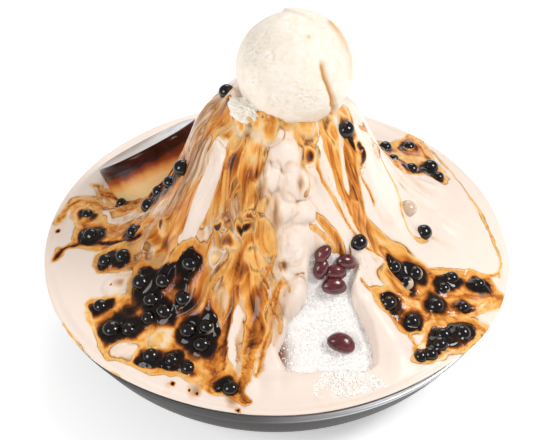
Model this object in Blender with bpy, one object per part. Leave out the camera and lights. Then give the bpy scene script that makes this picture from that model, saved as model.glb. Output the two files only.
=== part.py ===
"""Milk-tea bingsu: a mound of shaved ice in a shallow steel bowl, under poured cream and
brown-sugar syrup, with tapioca pearls, red beans, a tilted custard pudding and a scoop of ice cream.

Metres, +Z up, the bowl's base at z = 0 and its axis on the origin, the open front of the cream at -Y.
"""

import math
import random

import bmesh
import bpy
import numpy as np
from mathutils import Matrix, Vector, noise

MM = 0.001

# The bowl: turned profiles as (radius, height) in millimetres, from the rim to the foot
RIM_RADIUS = 118 * MM
BOWL_HEIGHT = 44 * MM
BOWL_OUTSIDE = [(118, 43.3), (112.5, 33), (106.5, 23), (98, 13.5), (82, 6), (53, 0)]
BOWL_INSIDE = [(52, 3), (81, 9), (96, 17), (104, 26), (110, 35.5), (115, 44)]
BOWL_FLOOR = 3 * MM
LIP_CREST = 117.2 * MM
BOWL_STEPS = 45

# The mound: height above the level cream against the distance from the peak's axis, in millimetres
PEAK = (2 * MM, 2 * MM)
CREAM_LEVEL = BOWL_HEIGHT + 2 * MM
MOUND_RADII = [0, 16, 31, 39, 47, 55, 64, 75, 88, 102, 118, 140]
MOUND_HEIGHTS = [88, 87, 83.5, 75, 60, 43, 28, 16, 8, 3, 0.6, 0]
PUDDING_SIDE = math.radians(150)
COLLAR_RADIUS, COLLAR_HALF_WIDTH, COLLAR_HEIGHT = 22 * MM, 6.5 * MM, 8.5 * MM
CREAM_THICKNESS = 4.6 * MM
STEPS_ROUND = 54
CREAM_RINGS = 20
ICE_RINGS = 5
ICE_REACH = 111.2 * MM
GAP = 0.35 * MM
SLOPE_GAP = 0.6 * MM
RIM_CREAM = 1.7 * MM

# Toppings
PEARL_RADIUS = 4.4 * MM
PEARL_RISE = 0.12
BEAN_LENGTH, BEAN_WIDTH = 12.6 * MM, 8.6 * MM
SYRUP_THICKNESS = 1.3 * MM
SCOOP_RADIUS = 26.6 * MM
SCOOP_CENTRE = Vector((8.4 * MM, -0.5 * MM, BOWL_HEIGHT + 112.0 * MM))
PUDDING_RADIUS, PUDDING_HEIGHT, CARAMEL_HEIGHT = 29.5 * MM, 26 * MM, 5 * MM
PUDDING_TOP = Vector((-69.0 * MM, 57.2 * MM, BOWL_HEIGHT + 21.6 * MM))
PUDDING_AXIS = Vector((-0.456, 0.454, 0.765)).normalized()

# The reference view, from which the places of the toppings are read as (column, row) pixels
VIEW_ELEVATION = math.radians(43)
VIEW_DISTANCE = 718.3 * MM
VIEW_FOCAL = 1388.4
VIEW_CENTRE = (275.4, 245.2)

# Thick ropes of cream: pixels along the crest, half width and height in millimetres
ROPES = {
    "front_crest": ([(284, 128), (284, 150), (282, 178), (296, 212), (304, 250), (298, 292)], 9, 4.6),
    "window_right": ([(346, 262), (357, 288), (372, 314), (390, 338), (402, 362), (396, 380)], 7, 4.2),
    "window_left": ([(292, 300), (282, 322), (272, 346), (268, 372), (276, 394)], 5, 2.4),
    "window_foot": ([(276, 394), (300, 384), (336, 380), (372, 380), (396, 380)], 6, 2.2),
    "right_fall": ([(356, 138), (366, 172), (380, 206), (398, 236)], 6, 2.6),
    "middle_fall": ([(322, 158), (330, 192), (350, 226), (372, 256), (402, 290)], 4.5, 2.2),
    "left_fall": ([(216, 132), (218, 162), (204, 196), (190, 232), (176, 262)], 6, 3.0),
    "outer_left_fall": ([(204, 118), (190, 154), (172, 196), (150, 240)], 4.5, 2.4),
    "amber_fall": ([(246, 150), (240, 186), (236, 224), (226, 262), (214, 306)], 5, 2.2),
    "front_left_fall": ([(256, 210), (246, 262), (238, 312), (226, 362), (222, 388)], 5, 2.4),
    "front_foot_fall": ([(276, 246), (266, 300), (252, 350), (250, 392)], 4, 2.0),
}
BACK_FALLS = 11
BACK_FALL_HALF_WIDTH, BACK_FALL_HEIGHT = 5.5 * MM, 2.6 * MM

# Where the shaved ice shows, as an outline in pixels
ICE_WINDOW = [(311, 246), (330, 242), (352, 250), (358, 262), (352, 284), (356, 304), (368, 324), (374, 346),
              (374, 362), (360, 370), (336, 369), (306, 369), (286, 364), (276, 346), (284, 320), (306, 302), (308, 268)]

# Pools of syrup as outlines, each with its pearls as (column, row, size against the usual)
POOLS = {
    "front_left": (
        [(94, 304), (95, 327), (103, 342), (115, 352), (130, 356), (142, 361), (153, 366), (171, 366), (184, 371),
         (197, 378), (210, 385), (224, 392), (240, 394), (236, 380), (219, 362), (216, 340), (216, 318), (204, 300),
         (203, 262), (190, 252), (178, 266), (158, 270), (134, 272), (130, 288), (127, 300), (112, 301)],
        [(142, 283, 1.08), (165, 282, 1), (101, 307, 0.85), (153, 301, 1), (165, 312, 1), (184, 299, 1),
         (149, 319, 0.9), (112, 331, 1.1), (129, 331, 0.9), (191, 264, 0.95), (189, 331, 1), (207, 327, 0.9),
         (202, 345, 1), (151, 357, 0.95), (172, 361, 0.85), (188, 369, 0.8), (230, 389, 0.9)],
    ),
    "left_small": (
        [(95, 264), (98, 255), (107, 251), (121, 250), (132, 255), (131, 262), (121, 266), (107, 270), (98, 269)],
        [(106, 262, 0.9), (124, 257, 0.95)],
    ),
    "left": (
        [(80, 236), (84, 243), (99, 245), (115, 243), (127, 240), (139, 229), (131, 229), (121, 232), (107, 231),
         (101, 222), (95, 211), (89, 207), (79, 210), (77, 219), (82, 226)],
        [(92, 237, 1), (134, 233, 0.85), (88, 216, 0.75)],
    ),
    "pudding": (
        [(104, 194), (114, 202), (126, 214), (132, 208), (143, 208), (158, 204), (168, 192), (184, 176), (186, 164),
         (176, 166), (166, 182), (150, 192), (127, 200), (112, 194)],
        [(150, 207, 0.95), (183, 168, 0.95), (171, 183, 0.8), (160, 192, 0.8), (122, 204, 0.7)],
    ),
    "back_right": (
        [(379, 143), (388, 146), (399, 143), (408, 136), (419, 139), (425, 151), (430, 161), (439, 172), (441, 182),
         (433, 177), (424, 172), (412, 173), (402, 172), (393, 166), (387, 156)],
        [(409, 148, 0.8), (430, 168, 1), (438, 178, 0.75), (411, 170, 0.85), (393, 160, 0.7), (385, 148, 0.8)],
    ),
    "right": (
        [(384, 256), (394, 258), (414, 264), (431, 276), (443, 273), (466, 272), (480, 279), (490, 289), (498, 294),
         (490, 306), (476, 312), (458, 316), (436, 316), (418, 328), (402, 326), (384, 312), (380, 300), (396, 296),
         (414, 294), (400, 284), (388, 272)],
        [(393, 268, 0.85), (414, 274, 0.9), (405, 284, 0.85), (451, 279, 0.85), (443, 289, 0.75), (388, 304, 0.95),
         (435, 307, 1), (411, 322, 0.95), (463, 308, 0.75), (478, 285, 0.8)],
    ),
    "front_right": (
        [(416, 350), (428, 344), (434, 330), (450, 327), (470, 328), (474, 335), (462, 345), (448, 352), (432, 360),
         (417, 363)],
        [(443, 336, 0.9), (462, 334, 0.95), (440, 345, 0.9), (430, 355, 0.85), (420, 357, 0.75)],
    ),
}
SINGLE_PEARLS = {
    "scoop_left": (227, 92, 0.85),
    "scoop_right": (345, 130, 1.0),
    "slope_right": (358, 242, 0.95),
    "patch_covered": (407, 209, 1.0),
    "patch": (423, 233, 0.95),
}
# Behind the peak, where the reference view doesn't reach: azimuth in degrees, distance from the bowl's axis
BACK_PEARLS = [(78, 88), (84, 97), (91, 90), (97, 99), (104, 91)]
BACK_POOL_REACH = ((70, 78), (80, 74), (94, 76), (108, 84), (112, 95), (102, 105), (88, 104), (76, 100), (69, 89))

# Red beans on the ice: pixel, size against the usual, turn in the picture's plane in degrees
BEANS = [(340, 344, 1.1, -18), (332, 285, 1.0, -5), (334, 271, 0.86, -8), (344, 261, 0.84, -20), (319, 268, 0.82, 75),
         (321, 253, 0.8, 60)]

COLOURS = {
    "bowl": ((0.16, 0.15, 0.15), 0.35, 0.6),
    "ice": ((0.93, 0.95, 0.96), 0.6, 0.0),
    "cream": ((0.93, 0.84, 0.72), 0.3, 0.0),
    "ice_cream": ((0.94, 0.88, 0.78), 0.6, 0.0),
    "custard": ((0.90, 0.68, 0.36), 0.35, 0.0),
    "caramel": ((0.16, 0.07, 0.04), 0.15, 0.0),
    "pearl": ((0.03, 0.02, 0.02), 0.1, 0.0),
    "bean": ((0.27, 0.06, 0.08), 0.25, 0.0),
}


# Helpers


def clear_scene():
    for obj in list(bpy.data.objects):
        bpy.data.objects.remove(obj, do_unlink=True)


def material(name):
    colour, roughness, metallic = COLOURS[name]
    made = bpy.data.materials.get(name)
    if made is None:
        made = bpy.data.materials.new(name)
        made.use_nodes = True
        shader = made.node_tree.nodes["Principled BSDF"]
        shader.inputs["Base Color"].default_value = (*colour, 1)
        shader.inputs["Roughness"].default_value = roughness
        shader.inputs["Metallic"].default_value = metallic
    return made


def object_from(bm, name, finish, helper=False):
    """An object of this bmesh. A helper only cuts or joins others, and isn't part of the food."""
    bmesh.ops.recalc_face_normals(bm, faces=bm.faces)
    mesh = bpy.data.meshes.new(name)
    bm.to_mesh(mesh)
    bm.free()
    mesh.shade_smooth()
    mesh.set_sharp_from_angle(angle=math.radians(50))
    mesh.materials.append(material(finish))
    made = bpy.data.objects.new(name, mesh)
    bpy.context.scene.collection.objects.link(made)
    if helper:
        made.hide_render = True
        made.display_type = "WIRE"
    return made


def boolean(obj, other, operation="DIFFERENCE"):
    cut = obj.modifiers.new(f"{operation.lower()}_{other.name}", "BOOLEAN")
    cut.operation = operation
    cut.solver = "MANIFOLD"
    cut.object = other
    return cut


def apply_modifiers(obj):
    """Makes the evaluated mesh the object's own, and drops any loose scrap that a cut left."""
    graph = bpy.context.evaluated_depsgraph_get()
    mesh = bpy.data.meshes.new_from_object(obj.evaluated_get(graph))
    obj.modifiers.clear()
    obj.data = mesh
    bm = bmesh.new()
    bm.from_mesh(mesh)
    left, islands = set(bm.verts), []
    while left:
        island, edge = set(), [left.pop()]
        while edge:
            vert = edge.pop()
            island.add(vert)
            near = {e.other_vert(vert) for e in vert.link_edges} & left
            left -= near
            edge.extend(near)
        islands.append(island)
    islands.sort(key=len)
    scraps = [v for island in islands[:-1] for v in island]
    bmesh.ops.delete(bm, geom=scraps, context="VERTS")
    bm.to_mesh(mesh)
    bm.free()


def joined(base, pieces):
    """base and these pieces as one body, by one Boolean union on their collection."""
    group = bpy.data.collections.new(f"{base.name}_pieces")
    bpy.context.scene.collection.children.link(group)
    for piece in pieces:
        bpy.context.scene.collection.objects.unlink(piece)
        group.objects.link(piece)
    join = base.modifiers.new("join_pieces", "BOOLEAN")
    join.operation = "UNION"
    join.solver = "MANIFOLD"
    join.operand_type = "COLLECTION"
    join.collection = group
    apply_modifiers(base)
    for piece in pieces:
        bpy.data.objects.remove(piece, do_unlink=True)
    bpy.data.collections.remove(group)
    return base


def smooth_curve(x, xs, ys):
    """A curve without overshoot through the points (xs, ys), read at x."""
    xs, ys = np.array(xs, float), np.array(ys, float)
    slopes = np.diff(ys) / np.diff(xs)
    tangents = np.zeros(len(xs))
    same = slopes[:-1] * slopes[1:] > 0
    both = slopes[:-1] + slopes[1:]
    tangents[1:-1][same] = 2 * slopes[:-1][same] * slopes[1:][same] / both[same]
    x = np.clip(x, xs[0], xs[-1])
    i = np.clip(np.searchsorted(xs, x) - 1, 0, len(xs) - 2)
    step = xs[i + 1] - xs[i]
    t = (x - xs[i]) / step
    return (
        ys[i] * (1 + 2 * t) * (1 - t) ** 2
        + tangents[i] * step * t * (1 - t) ** 2
        + ys[i + 1] * t**2 * (3 - 2 * t)
        - tangents[i + 1] * step * t**2 * (1 - t)
    )


# The surface of the cream


def mound_height(x, y):
    """The plain mound above the level cream, wider to the front, and drawn in beside the pudding."""
    dx, dy = x - PEAK[0], y - PEAK[1]
    angle = np.arctan2(dy, dx)
    off = np.abs((angle - PUDDING_SIDE + math.pi) % (2 * math.pi) - math.pi)
    distance = np.hypot(dx, dy) / MM
    drawn_in = 0.14 * np.exp(-((off / 0.6) ** 2)) * np.clip((distance - 29) / 16, 0, 1)
    spread = 1 + 0.05 * np.cos(angle + 2.0) + 0.02 * np.cos(2 * angle - 0.4) - drawn_in
    return smooth_curve(distance / spread, MOUND_RADII, MOUND_HEIGHTS) * MM


def sight_line(column, row):
    """The eye of the reference view and the direction through a pixel."""
    ahead = Vector((0, math.cos(VIEW_ELEVATION), -math.sin(VIEW_ELEVATION)))
    up = Vector((0, math.sin(VIEW_ELEVATION), math.cos(VIEW_ELEVATION)))
    right = Vector((1, 0, 0))
    eye = Vector((0, 0, BOWL_HEIGHT)) - ahead * VIEW_DISTANCE
    across, down = column - VIEW_CENTRE[0], row - VIEW_CENTRE[1]
    return eye, (ahead * VIEW_FOCAL + right * across - up * down).normalized()


def landing(column, row, height=mound_height, sink=0.0):
    """Where the line of sight through a pixel meets the surface, a distance sink under it."""
    eye, direction = sight_line(column, row)
    near, far, steps = VIEW_DISTANCE * 0.6, VIEW_DISTANCE * 1.4, 1200
    along = np.linspace(near, far, steps)
    points = np.array(eye) + along[:, None] * np.array(direction)
    above = points[:, 2] - CREAM_LEVEL + sink - height(points[:, 0], points[:, 1])
    first = int(np.argmax(above < 0))
    return Vector(points[first])


def plan_line(pixels):
    return [landing(*pixel).xy for pixel in pixels]


def distance_to_line(x, y, line):
    """The distance in plan from (x, y) to a polyline, and how far along it the nearest point is, 0 to 1."""
    best, along = np.full(np.shape(x), 1e9), np.zeros(np.shape(x))
    for i, (a, b) in enumerate(zip(line[:-1], line[1:])):
        d = b - a
        t = np.clip(((x - a.x) * d.x + (y - a.y) * d.y) / d.length_squared, 0, 1)
        distance = np.hypot(x - a.x - t * d.x, y - a.y - t * d.y)
        nearer = distance < best
        best = np.where(nearer, distance, best)
        along = np.where(nearer, (i + t) / (len(line) - 1), along)
    return best, along


def crest(distance, half_width):
    """1 on a rope's crest, rounding down to 0 at twice its half width."""
    return np.exp(-((distance / half_width) ** 2))


def back_falls():
    """Ropes of cream down the back of the mound, as lines in plan."""
    rng = random.Random(7)
    falls = []
    for i in range(BACK_FALLS):
        angle = math.radians(8 + 164 * i / (BACK_FALLS - 1) + rng.uniform(-5, 5))
        lean = math.radians(rng.uniform(-10, 10))
        reach = rng.uniform(78, 100) * MM
        line = []
        for step in range(4):
            radius = 30 * MM + (reach - 30 * MM) * step / 3
            turned = angle + lean * (step / 3) ** 2
            line.append(Vector((PEAK[0] + radius * math.cos(turned), PEAK[1] + radius * math.sin(turned))))
        falls.append(line)
    return falls


ROPE_LINES = [(plan_line(pixels), width * MM, height * MM) for pixels, width, height in ROPES.values()]
ROPE_LINES += [(line, BACK_FALL_HALF_WIDTH, BACK_FALL_HEIGHT) for line in back_falls()]


def inside(x, y, outline):
    """Whether (x, y) is inside an outline, by counting the sides that it lies left of."""
    found = np.zeros(np.shape(x), bool)
    for a, b in zip(outline, outline[1:] + outline[:1]):
        crosses = (a.y > y) != (b.y > y)
        side = a.x + (y - a.y) * (b.x - a.x) / (b.y - a.y if b.y != a.y else 1e-12)
        found ^= crosses & (x < side)
    return found


def depth_inside(x, y, outline):
    """The distance in plan from an outline, positive inside it."""
    distance, _ = distance_to_line(x, y, outline + outline[:1])
    return np.where(inside(x, y, outline), distance, -distance)


def back_pool():
    return [
        Vector((reach * MM * math.cos(math.radians(turn)), reach * MM * math.sin(math.radians(turn))))
        for turn, reach in BACK_POOL_REACH
    ]


POOL_LINES = {name: plan_line(outline) for name, (outline, _) in POOLS.items()}
POOL_LINES["back"] = back_pool()


def cream_height(x, y):
    """The top of the cream: mound, ropes, the collar round the scoop, and the hollows that hold syrup."""
    x, y = np.asarray(x, float), np.asarray(y, float)
    base = mound_height(x, y)
    radius = np.hypot(x, y)
    ropes = np.zeros(np.shape(x))
    for line, half_width, height in ROPE_LINES:
        distance, along = distance_to_line(x, y, line)
        lumps = 1 + 0.25 * np.sin(along * 17 + half_width * 900)
        ropes = np.maximum(ropes, height * lumps * crest(distance, half_width))
    hollow = np.zeros(np.shape(x))
    for line in POOL_LINES.values():
        hollow = np.maximum(hollow, np.clip(depth_inside(x, y, line) / (3 * MM) + 0.5, 0, 1))
    settle = np.clip((RIM_RADIUS - 4 * MM - radius) / (14 * MM), 0, 1)
    from_peak = np.hypot(x - PEAK[0], y - PEAK[1])
    top_cap = np.clip((from_peak - 20 * MM) / (12 * MM), 0, 1)
    collar = COLLAR_HEIGHT * crest(from_peak - COLLAR_RADIUS, COLLAR_HALF_WIDTH)
    return base + ropes * settle * top_cap + collar - SYRUP_THICKNESS * hollow * settle


def rim_reach(angle):
    """How far the cream reaches: short of the lip along the front, and over it at the right."""
    bare = 3.2 * MM * np.exp(-(((angle + 1.50) / 0.76) ** 4))
    spill = 1.4 * MM * np.exp(-(((angle + 0.35) / 0.35) ** 4))
    return RIM_RADIUS + 0.4 * MM - bare + spill


# Closed shells of rings


def ring_points(radius, height, steps=STEPS_ROUND):
    """A ring round the bowl's axis. The radius may be a function of the angle, the height one of the place."""
    angle = np.linspace(-math.pi, math.pi, steps, endpoint=False)
    r = radius(angle) if callable(radius) else np.full(steps, radius)
    x, y = r * np.cos(angle), r * np.sin(angle)
    return np.stack([x, y, height(x, y) if callable(height) else np.full(steps, height)], axis=1)


def rings_over(radii, height, steps=STEPS_ROUND):
    """Rings of these radii that follow a surface."""
    angle = np.linspace(-math.pi, math.pi, steps, endpoint=False)
    r = np.array(radii)[:, None]
    x, y = r * np.cos(angle), r * np.sin(angle)
    return list(np.stack([x, y, height(x, y)], axis=2))


def shell_of(rings, first_pole, last_pole, other_way=False):
    """A closed bmesh from rings of points, with a point at each end. The faces are all split the same way.

    A surface whose rings run inwards and one whose rings run outwards match when one is split the other way.
    """
    bm = bmesh.new()
    loops = [[bm.verts.new(p) for p in ring] for ring in rings]
    steps = len(loops[0])
    for pole, loop in ((first_pole, loops[0]), (last_pole, loops[-1])):
        tip = bm.verts.new([float(c) for c in pole])
        for i in range(steps):
            bm.faces.new((tip, loop[i], loop[(i + 1) % steps]))
    for a, b in zip(loops[:-1], loops[1:]):
        for i in range(steps):
            j = (i + 1) % steps
            if other_way:
                bm.faces.new((a[i], b[i], a[j]))
                bm.faces.new((b[i], b[j], a[j]))
            else:
                bm.faces.new((a[i], b[i], b[j]))
                bm.faces.new((a[i], b[j], a[j]))
    return bm


def cream_top(x, y):
    return CREAM_LEVEL + cream_height(x, y)


def ice_top(x, y):
    """The ice's surface under the cream, which follows the mound without its ropes."""
    low = BOWL_HEIGHT - 4.4 * MM
    height = CREAM_LEVEL + mound_height(x, y) - CREAM_THICKNESS - 1.2 * MM
    edge = np.clip((109 * MM - np.hypot(x, y)) / (16 * MM), 0, 1)
    return low + (height - low) * edge * edge * (3 - 2 * edge)


def ice_radii():
    return [ICE_REACH * (i / ICE_RINGS) ** 0.9 for i in range(1, ICE_RINGS + 1)]


def cream_radii():
    """Ring radii of the cream's top, closest on the steep flank."""
    outer = 112 * MM
    shares = np.linspace(0, 1, CREAM_RINGS)
    return [float(8 * MM + (outer - 8 * MM) * (s + 0.055 * math.sin(2 * math.pi * s))) for s in shares]


def cream_shell():
    rings = rings_over(cream_radii(), cream_top)
    crown = CREAM_LEVEL - 0.3 * MM
    over_lip = BOWL_HEIGHT + GAP
    rings.append(ring_points(lambda a: rim_reach(a) - 1.6 * MM, crown))
    rings.append(ring_points(rim_reach, over_lip + RIM_CREAM * 0.45))
    rings.append(ring_points(lambda a: rim_reach(a) - 0.5 * MM, over_lip))
    rings.append(ring_points(113.4 * MM, over_lip))
    rings += rings_over(ice_radii(), lambda x, y: ice_top(x, y) + SLOPE_GAP)[::-1]
    return shell_of(rings, (0, 0, cream_top(0, 0)), (0, 0, ice_top(0, 0) + SLOPE_GAP))


def raised_cream(lift):
    """A block whose top lies this far out from the cream's surface, down to near the bowl's base."""
    step = 1 * MM
    rings = []
    for ring in rings_over(cream_radii(), cream_top):
        x, y = ring[:, 0], ring[:, 1]
        across = (cream_top(x + step, y) - cream_top(x - step, y)) / (2 * step)
        along = (cream_top(x, y + step) - cream_top(x, y - step)) / (2 * step)
        steepness = np.sqrt(1 + across**2 + along**2)
        rings.append(ring + np.stack([0 * x, 0 * x, lift * np.minimum(steepness, 2.2)], axis=1))
    top = CREAM_LEVEL - 0.3 * MM + lift
    rings.append(ring_points(RIM_RADIUS + 3 * MM, top))
    rings.append(ring_points(RIM_RADIUS + 3 * MM, 10 * MM))
    return shell_of(rings, (0, 0, cream_top(0, 0) + lift), (0, 0, 10 * MM))


def raised_ice(lift):
    rings = rings_over(ice_radii(), lambda x, y: ice_top(x, y) + lift)
    rings.append(ring_points(ICE_REACH, 5 * MM))
    return shell_of(rings, (0, 0, ice_top(0, 0) + lift), (0, 0, 5 * MM), other_way=True)


def prism(outline, low, high):
    bm = bmesh.new()
    face = bm.faces.new([bm.verts.new((p.x, p.y, low)) for p in outline])
    made = bmesh.ops.extrude_face_region(bm, geom=[face])
    lifted = [g for g in made["geom"] if isinstance(g, bmesh.types.BMVert)]
    bmesh.ops.translate(bm, verts=lifted, vec=(0, 0, high - low))
    bmesh.ops.triangulate(bm, faces=[f for f in bm.faces if len(f.verts) > 4])
    return bm


# Pieces


def turned(profile, steps, name, finish, matrix=None, helper=False):
    """A solid of revolution round +Z from (radius, height) points whose first and last lie on the axis."""
    bm = bmesh.new()
    verts = [bm.verts.new((r, 0, z)) for r, z in profile]
    edges = [bm.edges.new(pair) for pair in zip(verts[:-1], verts[1:])]
    bmesh.ops.spin(
        bm, geom=verts + edges, axis=(0, 0, 1), cent=(0, 0, 0), steps=steps, angle=2 * math.pi, use_duplicate=False
    )
    bmesh.ops.remove_doubles(bm, verts=bm.verts, dist=0.01 * MM)
    if matrix is not None:
        bmesh.ops.transform(bm, matrix=matrix, verts=bm.verts)
    return object_from(bm, name, finish, helper)


def make_bowl():
    outside = [(r * MM, z * MM) for r, z in BOWL_OUTSIDE]
    inside_wall = [(r * MM, z * MM) for r, z in reversed(BOWL_INSIDE)]
    profile = [(0, BOWL_FLOOR)] + inside_wall[::-1] + [(LIP_CREST, BOWL_HEIGHT)] + outside + [(0, 0)]
    return turned(profile, BOWL_STEPS, "bowl", "bowl")


def make_ice():
    """The shaved ice fills the bowl, clear of its wall, and rises as the mound."""
    rings = rings_over(ice_radii(), ice_top)
    for r, z in reversed(BOWL_INSIDE[:-1]):
        rings.append(ring_points((r - 0.5) * MM, (z + 0.4) * MM))
    bm = shell_of(rings, (0, 0, ice_top(0, 0)), (0, 0, BOWL_FLOOR + 0.4 * MM), other_way=True)
    return object_from(bm, "shaved_ice", "ice")


def make_cream():
    cream = object_from(cream_shell(), "cream", "cream")
    window = object_from(prism(plan_line(ICE_WINDOW), 20 * MM, 160 * MM), "window_cutter", "ice", helper=True)
    boolean(cream, window)
    return cream


def pudding_matrix(down):
    """The pudding's frame, with its axis tilted outwards and its origin a distance down from its top."""
    turn = Vector((0, 0, 1)).rotation_difference(PUDDING_AXIS).to_matrix().to_4x4()
    return Matrix.Translation(PUDDING_TOP - PUDDING_AXIS * down) @ turn


def make_pudding(steps=32):
    r, soft = PUDDING_RADIUS, 1.6 * MM
    h = PUDDING_HEIGHT - CARAMEL_HEIGHT - GAP
    custard = [(0, 0), (r * 0.93, 0), (r * 0.965, soft), (r * 0.985, h * 0.5), (r, h), (0, h)]
    turned(custard, steps, "pudding_custard", "custard", pudding_matrix(PUDDING_HEIGHT))
    h = CARAMEL_HEIGHT
    caramel = [(0, 0), (r, 0), (r * 1.003, h * 0.5), (r * 0.995, h - soft), (r * 0.955, h), (0, h - 0.5 * MM)]
    turned(caramel, steps, "pudding_caramel", "caramel", pudding_matrix(CARAMEL_HEIGHT))
    clear = 0.45 * MM
    around = [(0, -clear), (r * 0.97 + clear, -clear), (r + clear, PUDDING_HEIGHT * 0.4)]
    around += [(r * 1.003 + clear, PUDDING_HEIGHT + 12 * MM), (0, PUDDING_HEIGHT + 12 * MM)]
    return turned(around, steps, "pudding_cutter", "custard", pudding_matrix(PUDDING_HEIGHT), helper=True)


def pearl(name, centre, size, sides=7, helper=False):
    bm = bmesh.new()
    bmesh.ops.create_uvsphere(bm, u_segments=sides, v_segments=sides - 2, radius=PEARL_RADIUS * size)
    bmesh.ops.scale(bm, vec=(1.04, 1.0, 0.93), verts=bm.verts)
    bmesh.ops.rotate(bm, cent=(0, 0, 0), matrix=Matrix.Rotation(centre.x * 900, 3, "Z"), verts=bm.verts)
    bmesh.ops.translate(bm, vec=centre, verts=bm.verts)
    return object_from(bm, name, "pearl", helper)


def outward(x, y, height=None):
    """The direction straight out of a surface at (x, y)."""
    height = height or cream_top
    e = 2 * MM
    across, along = height(x - e, y) - height(x + e, y), height(x, y - e) - height(x, y + e)
    return Vector((float(across), float(along), 2 * e)).normalized()


def seated(column, row, radius, share=PEARL_RISE):
    """The centre of a ball seen at this pixel, which stands out of the cream by this share of its radius."""
    foot = landing(column, row, cream_height)
    return foot + outward(foot.x, foot.y) * radius * share


def make_heap(name, outline, pearls, syrup, cutters):
    """A pool of syrup with its pearls, one body, which lies on the cream."""
    low, high = 30 * MM, 90 * MM
    heap = object_from(syrup.copy(), f"pearls_{name}", "pearl")
    block = object_from(prism(outline, low, high), f"{name}_block", "pearl", helper=True)
    boolean(heap, block, "INTERSECT")
    apply_modifiers(heap)
    balls = [pearl(f"{name}_{i}", centre, size) for i, (centre, size) in enumerate(pearls)]
    joined(heap, balls)
    bpy.data.objects.remove(block, do_unlink=True)
    for cutter in cutters:
        boolean(heap, cutter)
    apply_modifiers(heap)
    return heap


def make_heaps(cream_cutter, pudding_cutter, window_edge):
    syrup = raised_cream(SYRUP_THICKNESS)
    for name, (_, pearls) in POOLS.items():
        cutters = [cream_cutter] + ([pudding_cutter] if name == "pudding" else [])
        balls = [(seated(c, r, PEARL_RADIUS * size), size) for c, r, size in pearls]
        make_heap(name, POOL_LINES[name], balls, syrup, cutters)
    balls = []
    for turn, reach in BACK_PEARLS:
        x, y = reach * MM * math.cos(math.radians(turn)), reach * MM * math.sin(math.radians(turn))
        balls.append((Vector((x, y, cream_top(x, y) + PEARL_RADIUS * PEARL_RISE)), 0.95))
    make_heap("back", POOL_LINES["back"], balls, syrup, [cream_cutter])
    syrup.free()
    for name, (column, row, size) in SINGLE_PEARLS.items():
        single = pearl(f"pearl_{name}", seated(column, row, PEARL_RADIUS * size), size)
        boolean(single, cream_cutter)
        if name.startswith("scoop"):
            boolean(single, window_edge)
        apply_modifiers(single)


def bean_mesh(size, grow=0.0):
    """A plump red bean along +X, slightly bent."""
    bm = bmesh.new()
    bmesh.ops.create_uvsphere(bm, u_segments=10, v_segments=7, radius=0.5)
    bmesh.ops.rotate(bm, cent=(0, 0, 0), matrix=Matrix.Rotation(math.pi / 2, 3, "Y"), verts=bm.verts)
    length, width = BEAN_LENGTH * size + grow, BEAN_WIDTH * size + grow
    for v in bm.verts:
        bend = (2 * v.co.x) ** 2
        v.co = Vector((v.co.x * length, v.co.y * width - bend * width * 0.08, v.co.z * width * 0.92))
    return bm


def make_beans(ice_cutter, cream):
    """Beans on the bare ice, each cut clear of those laid before it, and the cream cut clear of them all."""
    ahead = sight_line(*VIEW_CENTRE)[1]
    laid = []
    for i, (column, row, size, turn) in enumerate(BEANS):
        foot = landing(column, row, mound_height, sink=CREAM_THICKNESS + 1.2 * MM)
        up = outward(foot.x, foot.y, ice_top)
        along = (Vector((1, 0, 0)) - up * up.x).normalized()
        along = Matrix.Rotation(math.radians(turn), 3, -ahead) @ along
        side = up.cross(along).normalized()
        place = Matrix((side.cross(up), side, up)).transposed().to_4x4()
        place.translation = foot + up * BEAN_WIDTH * size * 0.3
        bm = bean_mesh(size)
        bmesh.ops.transform(bm, matrix=place, verts=bm.verts)
        bean = object_from(bm, f"red_bean_{i + 1}", "bean")
        bm = bean_mesh(size, grow=2 * GAP)
        bmesh.ops.transform(bm, matrix=place, verts=bm.verts)
        boolean(bean, ice_cutter)
        for other in laid:
            boolean(bean, other)
        laid.append(object_from(bm, f"bean_cutter_{i + 1}", "bean", helper=True))
        boolean(cream, laid[-1])
        apply_modifiers(bean)


def make_scoop(cream_cutter):
    """The ball of ice cream, with the lip that the scoop folded over its right side and a torn skirt."""
    bm = bmesh.new()
    bmesh.ops.create_uvsphere(bm, u_segments=22, v_segments=12, radius=SCOOP_RADIUS)
    for v in bm.verts:
        d = v.co.normalized()
        fold = Vector((0.86, -0.12, 0.5)).normalized()
        lip = min(max((d.dot(fold) - 0.42) / 0.12, 0), 1)
        rough = noise.noise(d * 3.1) * 0.5 + noise.noise(d * 9) * 0.3
        v.co = d * (SCOOP_RADIUS + 1.2 * MM * lip + rough * MM)
    bmesh.ops.translate(bm, vec=SCOOP_CENTRE, verts=bm.verts)
    scoop = object_from(bm, "ice_cream", "ice_cream")
    skirt = bmesh.new()
    bmesh.ops.create_uvsphere(skirt, u_segments=8, v_segments=6, radius=1)
    for v in skirt.verts:
        ragged = 1 + 0.25 * noise.noise(v.co * 2.7)
        v.co = Vector((v.co.x * 10.2 * MM, v.co.y * 5.8 * MM, v.co.z * 5.8 * MM)) * ragged
    bmesh.ops.rotate(skirt, cent=(0, 0, 0), matrix=Matrix.Rotation(math.radians(28), 3, "Y"), verts=skirt.verts)
    foot = landing(250, 112, cream_height)
    bmesh.ops.translate(skirt, vec=foot + Vector((0, -3.2, 3.0)) * MM, verts=skirt.verts)
    joined(scoop, [object_from(skirt, "skirt", "ice_cream")])
    boolean(scoop, cream_cutter)
    apply_modifiers(scoop)
    return scoop


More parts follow.
